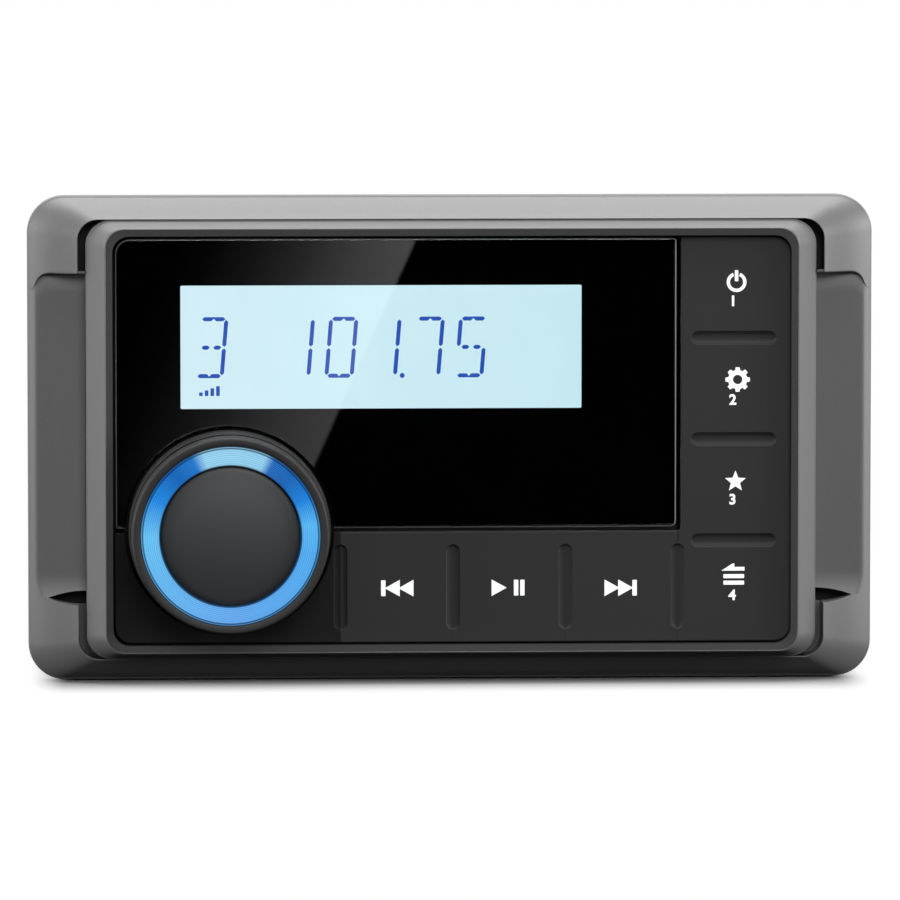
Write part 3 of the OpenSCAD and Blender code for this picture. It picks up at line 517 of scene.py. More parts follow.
def turned_light_pipe():
    """Tinted light pipe, turned in fine lines: a blue glow under a satin face, with painted highlights round
    it, painted shade at its edges and its turned lines painted into the glow.
    """
    material, tree = new_material("Turned blue light pipe")
    s = bpy.context.scene.stereo_knob
    part = split(tree, vectors(tree, "SUBTRACT", coords(tree), world(*centre_of("knob_grip"), 0)))
    around = remapped(tree, maths(tree, "ARCTAN2", part["Z"], part["X"]), -math.pi, math.pi)
    # painted highlights round the ring, painted shade across it, and turned lines painted into the glow
    glow = ramped(tree, around, [(degrees / 360 + 0.5, colour) for degrees, colour in RING_GLOW_AND_HIGHLIGHTS])
    flat = add(tree, "ShaderNodeCombineXYZ", links={"X": part["X"], "Z": part["Z"]})
    radius = vectors(tree, "LENGTH", flat.outputs["Vector"])
    across = ramped(tree, remapped(tree, radius, s.ring_inner, s.ring_outer), RING_SHADE)
    ripple = maths(tree, "SINE", maths(tree, "MULTIPLY", radius, TURN / (LINE_PITCH * MM)))
    lines = remapped(tree, ripple, -1.0, 1.0, 0.78, 1.06)
    colour = vectors(tree, "MULTIPLY", vectors(tree, "MULTIPLY", glow, across), lines)
    lit(tree, "#04203f", 0.35, 1.0, colour, **{"Specular IOR Level": 0.2})
    return material


def make_materials():
    """Every finish of the stereo, by the record's slot or by its own name."""
    return {
        # moulded ABS with a fine satin texture: soft highlights, faint mottle
        "moulded_grey": surface("Satin grey ABS", "#6b6b6c", "#6f6f70", 0.5, 0.002, 0.42),
        # the same moulding, printed darker on the rim of its mouth
        "rim_grey": surface("Dark inner rim ABS", "#4a4a4b", "#4e4e4f", 0.5, 0.002, 0.7, 0.15),
        # painted shade: black on the flange, the frame's inside and the trim's groove above the scoops, so
        # these gaps and grooves show dark
        "bare_black": surface("Bare black ABS", "#0b0b0c", "#101011", 0.5, 0.004, 0.7),
        "clear_acrylic": clear_acrylic(),
        # edge of the lens, ground and left unpolished
        "ground_edge": surface("Ground acrylic edge", "#727374", "#7a7b7c", 0.3, 0.004, 0.5),
        # flat black, as screen-printed behind the lens; also painted shade on the lens's bite wall, in the
        # knob's groove and on the sheet under the keys
        "mask_black": surface("Printed black film and painted shade", "#020203", "#040405", 0.8, 0.001, 0.9, 0.0),
        "display_glass": lit_display(),
        "backlight_white": surface("White light panel", "#eef4f6", "#f6fafb", 2.0, 0.01, 0.5),
        # dark blue liquid crystal segments
        "segment_blue": glowing("Blue display segments", "#0348b4", "#0f55be", 6.0, 0.95, "#02060c", 0.4),
        # black glass-filled plastic, fine spark texture
        "black_plastic": surface("Textured black plastic", "#17181a", "#202124", 0.7, 0.02, 0.55),
        # matte silicone rubber, slightly dusty
        "keypad_rubber": surface("Matte silicone rubber", "#1f1f20", "#222223", 0.35, 0.003, 0.62, 0.42),
        # the sheet round the knob, darker and less glossy than the keys
        "surround_rubber": surface("Black silicone rubber", "#101011", "#131314", 0.35, 0.003, 0.62, 0.2),
        # white print on the keys, with a glow of its own as painted light
        "legend_white_glow": glowing("White key print", "#e9ebec", "#f2f4f5", 3.0, 0.75, "#d8dadb", 0.5),
        "carbon_rubber": surface("Carbon rubber", "#0c0c0d", "#141415", 0.3, 0.01, 0.7),
        # glass fibre board with green solder mask
        "circuit_board": surface("Green circuit board", "#114a28", "#17582f", 1.5, 0.01, 0.35),
        "gold_plate": surface("Gold plate", "#cfa54c", "#dab35c", 0.8, 0.002, 0.25, metal=1.0),
        "lamp_white": surface("Moulded lamp", "#e9eef0", "#f4f7f8", 0.5, 0.002, 0.3),
        "light_pipe": turned_light_pipe(),
        "screw_steel": surface("Zinc plated steel", "#a3a6aa", "#b4b7bb", 0.4, 0.004, 0.32, metal=1.0),
        "plated_steel": surface("Tin plated steel", "#9fa2a6", "#b0b3b7", 1.2, 0.003, 0.28, metal=1.0),
        "cream_nylon": surface("Cream nylon", "#dcd7c6", "#e5e0d0", 0.8, 0.006, 0.5),
        # soft-touch knob rubber and the finer face of its cap
        "knob_black": surface("Soft touch knob rubber", "#161617", "#1a1a1b", 0.3, 0.006, 0.62),
        "knob_face": surface("Fine matte knob face", "#343537", "#38393b", 0.3, 0.002, 0.45),
        "seal_rubber": surface("Sealing rubber", "#121213", "#18181a", 0.5, 0.004, 0.6),
        "gasket_foam": surface("Closed cell foam", "#232325", "#2e2e30", 0.25, 0.03, 0.85),
        "chip_epoxy": surface("Epoxy chip package", "#17181a", "#1e1f21", 0.4, 0.006, 0.6),
        "pad_silicone": surface("Heat pad silicone", "#93a9b8", "#9fb4c2", 1.0, 0.01, 0.7),
        # blasted and anodised aluminium, darker than bare metal
        "cast_aluminium": surface("Blasted aluminium", "#75797f", "#868a90", 0.35, 0.01, 0.42, metal=1.0),
        "can_sleeve": surface("Capacitor sleeve", "#1e2a48", "#26335a", 1.0, 0.003, 0.35),
        "copper_wire": surface("Enamelled copper", "#a9622c", "#bd7537", 0.6, 0.03, 0.3, metal=1.0),
        "ribbon_film": surface("Ribbon cable film", "#c9ccd0", "#d6d9dc", 1.0, 0.004, 0.4),
    }


# Trim bezel


class TrimSettings(bpy.types.PropertyGroup):
    """Sizes of the trim bezel."""

    rim_height: length("Rim height", "Height of the outer rim above the panel", 3.6)
    opening_width: length("Opening width", "Width of the opening round the front frame", 125.0)
    opening_height: length("Opening height", "Height of the opening round the front frame", 73.7)
    opening_radius: length("Opening radius", "Corner radius of the opening", 3.4)
    corner_radius: length("Corner radius", "Corner radius of the outline", 6.2)
    scoop_top: length("Scoop top", "Height of the finger scoops above the middle", 27.8)
    scoop_foot: length("Scoop foot", "Depth of the finger scoops below the middle", 26.7)
    scoop_floor: length("Scoop floor", "Height of the finger scoops above the panel", 4.4)
    scoop_radius: length("Scoop radius", "Corner radius at a scoop's upper end", 2.6)
    scoop_side: length("Scoop side", "Distance from the trim's side to a scoop", 1.2)
    dip_length: length("Dip length", "Length of the dip at a scoop's upper end", 3.4)
    dip: length("Dip", "Depth of that dip below the scoop's floor", 0.4)
    ramp_length: length("Ramp length", "Length of the ramp at a scoop's lower end", 4.0)
    ramp_rise: length("Ramp rise", "Rise of that ramp", 0.6)
    groove_end: length("Groove end", "Wall between a scoop and the groove above it", 0.5)
    slot_length: length("Slot length", "Length of each pry slot", 6.4)
    slot_height: length("Slot height", "Height of each pry slot", 2.3)


class STEREO_OT_trim(bpy.types.Operator):
    """Builds the trim bezel with its corner pods, finger scoops and pry slots."""

    bl_idname = "stereo.trim"
    bl_label = "Trim bezel"

    def execute(self, context):
        s, body = in_mm(context.scene.stereo_trim), in_mm(context.scene.stereo_frame)
        u0, u1, v0, v1, back, front = extents("trim_bezel")
        # clearance round the frame, step between points at a scoop's ends, rounding above a scoop
        fit, seam, edge = 0.2, 0.015, 0.2
        frame_u, frame_v = (body.width + fit) / 2, (body.height + fit) / 2
        foot, ramp, wall = -s.scoop_foot, s.ramp_length, s.groove_end
        round_u = u1 - s.scoop_side - s.scoop_radius

        def crest(u):
            """Upper end of a scoop at a distance from the middle."""
            past = min(max(u - round_u, 0), s.scoop_radius)
            return s.scoop_top - s.scoop_radius + math.sqrt(s.scoop_radius**2 - past**2)

        def side_rows(u):
            """Heights of the points on an upright side, close together at both ends of the scoop."""
            top = crest(u)
            dip = top - s.dip_length
            rows = [foot - 2, foot - seam] + [foot + ramp * i / 12 for i in range(13)]
            rows += [foot + ramp + (dip - foot - ramp) * i / 16 for i in range(1, 16)]
            rows += [dip + s.dip_length * i / 12 for i in range(12)] + [top - seam]
            return rows + [top + step for step in (seam, 0.06, 0.11, 0.18, 0.28, wall, wall + seam, 2)]

        def floor(u, v):
            """Height of the scoop's floor: a ramp at its foot and a dip at its crest."""
            if v < foot or v > crest(u):
                return math.inf
            into = max(v - crest(u) + s.dip_length, 0) / s.dip_length
            up = max(foot + ramp - v, 0) / ramp
            return s.scoop_floor + s.ramp_rise * up**2 - s.dip * into**2

        def carved(loop, w):
            """A ring of the trim's face, lowered to the scoops and rounded along their upper ends."""
            ring = []
            for u, v in loop:
                deep, worn = math.inf, 0
                if abs(u) > frame_u - 1:
                    deep = floor(abs(u), v)
                    past = min(max(crest(abs(u)) + edge - v, 0), edge) if deep == math.inf else 0
                    wall_rise = min(max(w - s.scoop_floor, 0), 1)
                    worn = (edge - math.sqrt(edge**2 - past**2)) * wall_rise if v > 0 else 0
                ring.append((u, v, smooth_min(w, deep, 0.12) if deep < math.inf else w - worn))
            return ring

        def outline(w, h, r):
            return rounded(w, h, r, side_rows(w / 2))

        rim, wide, high, corner = s.rim_height, u1 - u0, v1 - v0, s.corner_radius
        rings = [level(outline(wide, high, corner), back)]
        # the outer edge: how far it is drawn in over both sides, and its height
        edge_in, edge_high = 0.6, 0.9
        for step_in, up in soft_edge(1, range(0, 61, 12)):
            step = edge_in * step_in
            w = rim - edge_high + edge_high * up
            rings.append(carved(outline(wide - step, high - step, corner - step / 2), w))
        # the face: where it starts, how far it swells, its rows, and the soft lip of the opening
        start, swell, rows, lip = 0.7, 0.3, 26, 0.1
        opening = (s.opening_width, s.opening_height, s.opening_radius)
        low_end = (wide - start, high - start, corner - start / 2)
        high_end = (opening[0] + 2 * lip, opening[1] + 2 * lip, opening[2] + lip)
        for i in range(rows + 1):
            t = i / rows
            w = rim + (front - rim) * t + swell * math.sin(math.pi * t) * (1 - t)
            rings.append(carved(outline(*between(low_end, high_end, t)), w))
        for out, up in soft_edge(lip, (60, 30, 0)):
            loop = outline(opening[0] + 2 * out, opening[1] + 2 * out, opening[2] + out)
            rings.append(carved(loop, front - lip + up))
        # the underside: its height, the step of the groove's floor above it, the wall and an inner radius
        under_floor, groove_floor, thick, inner_radius = 3.4, 0.05, 1.2, 4.3

        def ledge(loop):
            """A ring that lies low in the pods' grooves and follows the face beside the scoops."""
            top = s.scoop_top + wall
            low = under_floor + groove_floor
            return [(u, v, w if foot <= v <= top else low) for u, v, w in carved(loop, front - lip)]

        kinds = [0] * (len(rings) - 1) + [1] * 3 + [0] * 3
        inner = outline(2 * frame_u, 2 * frame_v, inner_radius)
        rings += [ledge(outline(*opening)), ledge(inner), level(inner, under_floor)]
        under = outline(wide - 2 * thick, high - 2 * thick, corner - thick)
        rings += [level(under, under_floor), level(under, back)]
        bm = loft(rings, closed=True, kinds=kinds)
        # the groove round the frame is black above the scoops, as painted shade, and stays grey below them
        for face in bm.faces:
            if face.calc_center_median().z < (s.scoop_top + wall) * MM:
                face.material_index = 0
        finishes = ["moulded_grey", "bare_black"]
        slots = bmesh.new()
        cutter_back, cutter_front = 2.0, 9.0
        for loop in slot_loops(context.scene):
            plate(loop, [], cutter_back, cutter_front, slots)
        bm = cut(keep("trim", bm, finishes), keep("slots", slots, []))
        hand_over("trim_bezel_moulding", bm, "root", "moulded_grey", "trim_bezel", finishes=finishes)
        return {"FINISHED"}


def slot_loops(scene):
    """The pry slots on both sides: half a leaf between two arcs, its broad end at the frame."""
    trim = in_mm(scene.stereo_trim)
    reach, height, foot = trim.slot_length, trim.slot_height, -trim.scoop_foot
    bow = (4 * reach**2 + height**2) / (4 * height)
    turn = math.degrees(math.asin(reach / bow))
    start = scene.stereo_frame.width / MM / 2
    into = start - 0.1
    lower = arc(start, foot - height / 2 + bow, bow, 270, 270 + turn, 12)
    upper = arc(start, foot + height / 2 - bow, bow, 90 - turn, 90, 12)
    loop = [(into, lower[0][1])] + lower + upper[1:] + [(into, upper[-1][1])]
    return loop, [(-u, v) for u, v in reversed(loop)]


# Front frame


class FrameSettings(bpy.types.PropertyGroup):
    """Sizes of the front frame."""

    width: length("Width", "Width of the raised frame", 122.4)
    height: length("Height", "Height of the raised frame", 73.6)
    radius: length("Radius", "Corner radius of the raised frame", 4.2)
    edge: length("Edge", "Height where the frame's slope begins", 7.8)
    ridge_width: length("Ridge width", "Width at the ridge", 116.3)
    ridge_height: length("Ridge height", "Height at the ridge", 71.3)
    ridge_radius: length("Ridge radius", "Corner radius of the ridge", 3.2)
    mouth_width: length("Mouth width", "Width of the mouth that holds lens and keypad", 113.5)
    mouth_height: length("Mouth height", "Height of the mouth", 68.5)
    mouth_radius: length("Mouth radius", "Corner radius of the mouth", 2.8)
    mouth_fall: length("Mouth fall", "Fall of the dark rim from the ridge to the mouth", 0.2)


# Inside of the frame and the shell round it: width, height and corner radius
TUB = (112.0, 63.0, 3.0)
SHELL = (116.0, 67.0, 5.0)
# Height of the frame's foot, back and front of its flange, and thickness of its face plate
FRAME_FOOT, FLANGE_BACK, FLANGE_FRONT, FACE_PLATE = 1.3, 1.2, 3.2, 1.8
# Radius of the holes for the key stems and for the encoder's bush
STEM_HOLE, BUSH_HOLE = 3.15, 3.54


class STEREO_OT_front_frame(bpy.types.Operator):
    """Builds the front frame: flange, raised slope, dark inner rim, tub and face plate."""

    bl_idname = "stereo.front_frame"
    bl_label = "Front frame"

    def execute(self, context):
        s = in_mm(context.scene.stereo_frame)
        u0, u1, v0, v1, _, front = extents("front_frame")
        body = (s.width, s.height, s.radius)
        ridge = (s.ridge_width, s.ridge_height, s.ridge_radius)
        mouth = rounded(s.mouth_width, s.mouth_height, s.mouth_radius)
        tub, shell = rounded(*TUB), rounded(*SHELL)
        tub_back = extents("case_seal")[5]
        seat = extents("keypad_mat")[4] - FACE_PLATE

        def ring(size, step, w, sharper=0.0):
            """A ring of a size, drawn in by a step on every side."""
            return level(rounded(size[0] - 2 * step, size[1] - 2 * step, size[2] - sharper), w)

        # rounding at the foot of the slope and at the ridge
        edge, rounding = 0.22, 0.2
        rings = [ring(body, 0, FRAME_FOOT)]
        rings += [ring(body, step, s.edge + rise) for step, rise in soft_edge(edge, range(0, 61, 10))]
        start = (body[0] - 2 * edge, body[1] - 2 * edge, body[2])
        low, high = s.edge + edge, front - rounding
        rings += [ring(between(start, ridge, i / 8), 0, low + (high - low) * i / 8) for i in range(9)]
        # the ridge's steps in and down, and those of the land where the dark rim begins
        rings += [ring(ridge, step, front - down) for step, down in ((0.1, 0.06), (0.25, 0.0))]
        land, land_down, land_sharper = 0.3, 0.05, 0.1
        # the fall from the land to the mouth is the dark rim; the mouth's wall, the seat and the tub are
        # black, as painted shade in the gaps round the lens and keys
        kinds = [0] * len(rings) + [1] + [2] * 4 + [0] * 2
        rings += [ring(ridge, land, front - land_down, land_sharper), level(mouth, front - s.mouth_fall)]
        rings += [level(mouth, seat), level(tub, seat), level(tub, tub_back)]
        rings += [level(shell, tub_back), level(shell, FRAME_FOOT)]
        bm = loft(rings, closed=True, kinds=kinds)
        # gap round the display's holder, overlap into the frame, and the flange's corner radius
        play, overlap, corner = 0.2, 0.3, 5.0
        a0, a1, b0, b1 = extents("lcd_holder")[:4]
        holes = [box_loop(a0 - play, a1 + play, b0 - play, b1 + play)]
        holes += [circle(*centre_of("pill_" + name), STEM_HOLE) for name in KEYS]
        holes.append(circle(*centre_of("knob_grip"), BUSH_HOLE))
        # the face plate is black, as painted shade where it shows through the gaps
        plate(inset(tub, -play), holes, seat, seat + FACE_PLATE, bm, 2)
        screws = next(m["dims"] for m in frame["record"]["mounts"] if m["name"] == "panel_screws")
        wide, high = screws["spacing_x_mm"] / 2, screws["spacing_y_mm"] / 2
        holes = [circle(a * wide, b * high, screws["hole_r_mm"]) for a in (1, -1) for b in (1, -1)]
        holes.append(rounded(body[0] - 2 * overlap, body[1] - 2 * overlap, body[2] - overlap))
        holes += slot_loops(context.scene)
        # the flange is black, as painted shade in the grooves round the frame
        plate(rounded(u1 - u0, v1 - v0, corner), holes, FLANGE_BACK, FLANGE_FRONT, bm, 2)
        finishes = ["moulded_grey", "rim_grey", "bare_black"]
        hand_over("front_frame_moulding", bm, "root", "moulded_grey", "front_frame", finishes=finishes)
        return {"FINISHED"}


# Lens and display


class DisplaySettings(bpy.types.PropertyGroup):
    """What the display shows."""

    digits: bpy.props.StringProperty(
        name="Digits", description="Seven places of the readout", default="3 10175"
    )
    point_after: count("Point", "Place that the point follows", 4, 0)
    digit_height: length("Digit height", "Height of one digit", 10.2)
    digit_width: length("Digit width", "Width of one digit", 4.9)
    digit_pitch: length("Digit pitch", "Distance between digits", 7.24)
    stroke: length("Stroke", "Width of one segment", 0.68)
    slant: angle("Slant", "Lean of the digits", 4.8)


# Radius of the round bite for the knob in the lens and the keypad
KNOB_BITE = 17.35
# Edge of the mask's window inside the display glass: left and right, bottom, top
WINDOW_SIDE, WINDOW_FOOT, WINDOW_TOP = 2.6, 1.1, 2.2
# Corner radii of the lens: lower right, upper right, upper left, lower left
LENS_CORNERS = (1.1, 0.6, 2.55, 0.3)


class STEREO_OT_lens(bpy.types.Operator):
    """Builds the clear lens and its black mask."""

    bl_idname = "stereo.lens"
    bl_label = "Lens"

    def execute(self, context):
        u0, u1, v0, v1, back, front = extents("lens")
        # gap at the left and the top, reach towards the keys at the right, rounding of the front edge
        play, reach, soft = 0.2, 0.3, 0.3
        outline = lens_loop(u0 + play, u1 + reach, v0, v1 - play)
        # clearance of the back from the mask, and its small chamfer
        clear, draw, chamfer = 0.02, 0.05, 0.1
        rings = [level(inset(outline, draw), back + clear), level(outline, back + chamfer)]
        for step, rise in soft_edge(soft, range(0, 91, 15)):
            rings.append(level(inset(outline, step), front - soft + rise))
        bm = loft(rings)
        axis = world(*centre_of("knob_grip"), 0)
        bm.normal_update()
        # the rounded edge is ground, and the bite's wall is black as painted shade
        flat, tilted = 0.99, 0.2
        for face in bm.faces:
            centre = face.calc_center_median() - axis
            if abs(face.normal.y) > flat:
                continue
            near = math.hypot(centre.x, centre.z) < (KNOB_BITE + soft) * MM
            face.material_index = 2 if near else 1 if -face.normal.y > tilted else 0
        finishes = ["clear_acrylic", "ground_edge", "mask_black"]
        hand_over("lens_window", bm, "root", "clear_acrylic", "lens", finishes=finishes)
        back, front = extents("lens_mask")[4:]
        u0, u1, v0, v1 = extents("lcd_panel")[:4]
        corner, film_in = 0.25, 0.1
        window = box_loop(u0 + WINDOW_SIDE, u1 - WINDOW_SIDE, v0 + WINDOW_FOOT, v1 - WINDOW_TOP, corner)
        bm = plate(inset(outline, film_in), [window], back, front)
        hand_over("lens_mask_print", bm, "root", "mask_black", "lens_mask")
        return {"FINISHED"}


def lens_loop(u0, u1, v0, v1):
    """The lens's outline: rounded corners and a round bite for the knob."""
    u, v = centre_of("knob_grip")
    spread = math.degrees(math.asin((v0 - v) / KNOB_BITE))
    a, b, c, d = LENS_CORNERS
    loop = arc(u1 - a, v0 + a, a, 270, 360, 6) + arc(u1 - b, v1 - b, b, 0, 90, 5)
    loop += arc(u0 + c, v1 - c, c, 90, 180, 12) + arc(u0 + d, v0 + d, d, 180, 270, 3)
    return loop + arc(u, v, KNOB_BITE, 180 - spread, spread, 72)


class STEREO_OT_display(bpy.types.Operator):
    """Builds the lit display glass and its blue segment readout."""

    bl_idname = "stereo.display"
    bl_label = "Display"

    def execute(self, context):
        s = in_mm(context.scene.stereo_display)
        u0, u1, v0, v1, back, front = extents("lcd_panel")
        edge, ink = 0.1, 0.03
        loop = box_loop(u0, u1, v0, v1, 0.4)
        bm = loft([level(loop, back), level(loop, front - edge), level(inset(loop, edge), front)])
        hand_over("display_glass", bm, "root", "display_glass", "lcd_panel")
        lean = math.tan(context.scene.stereo_display.slant)
        # lower left corner of the readout, and the point's place after its digit and radius
        left, foot = -43.1, 10.4
        point_side, point_up, point = 0.9, 0.35, 0.42
        loops = []
        for place, digit in enumerate(s.digits):
            base = left + place * s.digit_pitch
            for loop in segment_loops(digit, s.digit_width, s.digit_height, s.stroke):
                loops.append([(base + u + lean * v, foot + v) for u, v in loop])
            if place == s.point_after:
                loops.append(circle(base + s.digit_width + point_side, foot + point_up, point, 16))
        # four signal bars under the readout, each taller than the one before
        bars_left, bars_foot, pitch, wide, low, taller = -42.3, 7.4, 0.95, 0.6, 8.0, 0.35
        for i in range(4):
            start = bars_left + pitch * i
            loops.append(box_loop(start, start + wide, bars_foot, low + taller * i, 0.08, 2))
        bm = bmesh.new()
        for loop in loops:
            plate(loop, [], front, front + ink, bm)
        hand_over("display_segments", bm, "root", "display_glass", finishes=["segment_blue"])
        return {"FINISHED"}


# Segments lit for each digit: top, upper right, lower right, bottom, lower left, upper left, middle
LIT = {
    "0": "abcdef",
    "1": "bc",
    "2": "abged",
    "3": "abgcd",
    "4": "fgbc",
    "5": "afgcd",
    "6": "afgedc",
    "7": "abc",
    "8": "abcdefg",
    "9": "abcdfg",
    " ": "",
}


def segment_loops(digit, width, height, stroke):
    """The lit segments of one digit, as loops with pointed ends."""
    # space between segments, and half the notch in the top and bottom ones
    gap, notch = 0.12, 0.42
    half, mid, axis = stroke / 2, height / 2, width / 2
    bars = {"a": (height - half, 1), "d": (half, -1)}
    posts = {
        "b": (width - half, mid, height),
        "c": (width - half, 0, mid),
        "e": (half, 0, mid),
        "f": (half, mid, height),
    }
    loops = []
    for name in LIT[digit]:
        if name in bars:
            v, side = bars[name]
            u0, u1 = stroke * 0.75, width - stroke * 0.75
            inner, outer = v - side * half, v + side * half
            loop = [(u0, v), (u0 + half, outer), (u1 - half, outer), (u1, v), (u1 - half, inner)]
            loop += [(axis + notch, inner), (axis, inner + side * notch), (axis - notch, inner)]
            loop.append((u0 + half, inner))
            loops.append(loop if side < 0 else loop[::-1])
        elif name == "g":
            for u0, u1 in ((stroke + gap, axis - 0.3), (axis + 0.3, width - stroke - gap)):
                loop = [(u0, mid), (u0 + half, mid - half), (u1 - half, mid - half), (u1, mid)]
                loops.append(loop + [(u1 - half, mid + half), (u0 + half, mid + half)])
        else:
            u, v0, v1 = posts[name]
            v0 += gap if v0 else half + gap
            v1 -= gap if v1 < height else half + gap
            loop = [(u - half, v0 + half), (u, v0), (u + half, v0 + half)]
            loops.append(loop + [(u + half, v1 - half), (u, v1), (u - half, v1 - half)])
    return loops


# Keypad


class KeypadSettings(bpy.types.PropertyGroup):
    """Sizes of the keypad."""

    groove_length: length("Groove length", "Length of the grooves between keys", 14.0)
    groove_width: length("Groove width", "Width of the grooves", 1.9)
    groove_depth: length("Groove depth", "Depth of the grooves", 0.4)
    edge_rounding: length("Edge rounding", "Rounding of the key edges", 0.22)
    print_height: length("Print height", "Thickness of the printed signs", 0.02)


# Sides of each key that share a groove: left, bottom, right, top
GROOVED = {
    "source": "b",
    "settings": "bt",
    "favourite": "bt",
    "back": "lt",
    "previous": "lr",
    "play": "lr",
    "next": "lr",
}
ROUND_CORNERS = {"source": "tr", "back": "br"}
# Corner radius of the keypad in the frame's mouth, and of the sheet under its keys
MOUTH_CORNER, SHEET_CORNER = 2.75, 2.55
# Gap between the lens and the keys beside it, more than the seam between keys
LENS_GAP = 0.465
# How far a key is widened on its sides, and on a side beside the frame
KEY_SEAM, KEY_SNUG = 0.065, 0.4
# Height of a key above its stem, radius of the stem and of its hole in the sheet, the sheet's thickness
KEY_HIGH, STEM, SHEET_HOLE, SHEET_THICK = 1.6, 3.0, 3.3, 0.8


def grooved_side(start, end, middle, s, depth, soft):
    """Points from one corner towards the next, pushed inwards along a groove."""
    start, end = Vector(start), Vector(end)
    along = (end - start).normalized()
    inward = Vector((-along.y, along.x))
    centre = start + along * (Vector(middle) - start).dot(along)
    r = s.groove_width / 2 + soft
    straight = s.groove_length / 2 + soft - r
    points = []
    for sign, angles in ((-1, range(180, 89, -15)), (1, range(90, -1, -15))):
        for a in angles:
            run = sign * straight + r * math.cos(math.radians(a))
            points.append(tuple(centre + along * run + inward * depth * math.sin(math.radians(a))))
    return points


def key_loop(name, bounds, s, depth, soft):
    """A key's outline from its lower left corner: half grooves, and free sides drawn in by soft."""
    shared = GROOVED[name]
    u0, u1, v0, v1 = bounds
    u0 += 0 if "l" in shared else soft
    u1 -= 0 if "r" in shared else soft
    v0 += 0 if "b" in shared else soft
    v1 -= 0 if "t" in shared else soft
    clear = 0 if "l" in shared else LENS_GAP
    foot = u0 if name == "favourite" else u0 + clear
    corners = (("bl", foot, v0, 180), ("br", u1, v0, 270), ("tr", u1, v1, 0), ("tl", u0 + clear, v1, 90))
    loop = []
    for i, (corner, u, v, start) in enumerate(corners):
        if ROUND_CORNERS.get(name) == corner:
            r = MOUTH_CORNER - soft
            loop += arc(u - r, v + (r if corner == "br" else -r), r, start, start + 90, 10)
        else:
            loop.append((u, v))
        if "brtl"[i] in shared:
            after = corners[(i + 1) % 4]
            middle = centre_of("pill_next" if "brtl"[i] in "rl" else "pill_" + name)
            loop += grooved_side((u, v), after[1:3], middle, s, depth, soft)
    # the favourite key meets the row below the lens, so its gap ends there in a small arc
    if name == "favourite":
        loop += arc(u0, extents("key_next")[3] + clear, clear, 0, -90, 5)
    return loop


def key_rings(outline, back, front, s):
    """Rings of a key: upright sides, hollow half grooves and a soft edge on top."""
    soft, reach, depth = s.edge_rounding, s.groove_width / 2, s.groove_depth
    # share of the groove's width and of its depth, from its bottom upwards
    hollow = ((0, 0), (0.4, 0), (0.75, 0.15), (0.95, 0.45))
    rings = [level(outline(0, 0), back)]
    rings += [level(outline(reach * wide, 0), front - depth + depth * high) for wide, high in hollow]
    rings.append(level(outline(reach, 0), front - soft))
    for step, rise in soft_edge(soft, (30, 60, 90)):
        rings.append(level(outline(reach + step, step), front - soft + rise))
    return rings


class STEREO_OT_keypad(bpy.types.Operator):
    """Builds the keys with their stems and the keypad's sheet round the knob."""

    bl_idname = "stereo.keypad"
    bl_label = "Keypad"

    def execute(self, context):
        s = in_mm(context.scene.stereo_keypad)
        for name in KEYS:
            u0, u1, v0, v1, back, front = extents("key_" + name)
            snug = KEY_SEAM if "r" in GROOVED[name] else KEY_SNUG
            bounds = (u0 - KEY_SEAM, u1 + snug, v0 - KEY_SEAM, v1 + KEY_SEAM)

            def outline(depth, soft):
                return key_loop(name, bounds, s, depth, soft)

            bm = loft(key_rings(outline, front - KEY_HIGH, front, s))
            turned(centre_of("pill_" + name), [(STEM, back), (STEM, front - KEY_HIGH)], 32, bm)
            hand_over(f"key_{name}_rubber", bm, name + "_button", "keypad_rubber", "key_" + name, crease=50)
        u0, u1, v0, v1, back, front = extents("keypad_mat")
        knob = centre_of("knob_grip")
        # where the sheet round the knob ends and the first key begins
        first = extents("key_previous")[0] - 0.15 + KEY_SEAM
        row_top = extents("key_previous")[3]

        def surround(depth, soft):
            r = KNOB_BITE + soft
            top = row_top - soft
            spread = math.degrees(math.asin((top - knob[1]) / r))
            loop = arc(u0 + MOUTH_CORNER, v0 + MOUTH_CORNER, MOUTH_CORNER - soft, 180, 270, 10)
            loop.append((first, v0 + soft))
            loop += grooved_side(loop[-1], (first, top), (first, (v0 + row_top) / 2), s, depth, soft)
            loop.append((first, top))
            loop += arc(*knob, r, spread, -180 - spread, 72)
            loop.append((u0 + soft, top))
            return loop

        bm = loft(key_rings(surround, back, front, s))
        column, left, r = extents("key_source")[0], first + 0.1, SHEET_CORNER
        sheet_loop = [(left, v0), (u1 - r, v0)] + arc(u1 - r, v0 + r, r, 270, 360, 8)
        sheet_loop += arc(u1 - r, v1 - r, r, 0, 90, 8) + [(column, v1), (column, row_top), (left, row_top)]
        # the sheet under the keys shows only in the gaps, black as painted shade
        holes = [circle(*centre_of("pill_" + name), SHEET_HOLE, 24) for name in KEYS]
        plate(sheet_loop, holes, back, back + SHEET_THICK, bm, 1)
        finishes = ["surround_rubber", "mask_black"]
        hand_over("keypad_sheet", bm, "root", "keypad_rubber", "keypad_mat", finishes=finishes, crease=50)
        return {"FINISHED"}


# The printed numbers: the column's middle, their size and how much bolder they are, and each one's height
NUMBER_COLUMN, NUMBER_SIZE, NUMBER_BOLD = 47.0, 2.4, 0.08
NUMBER_PLACES = {"source": 23.1, "settings": 6.55, "favourite": -10.2, "back": -26.3}


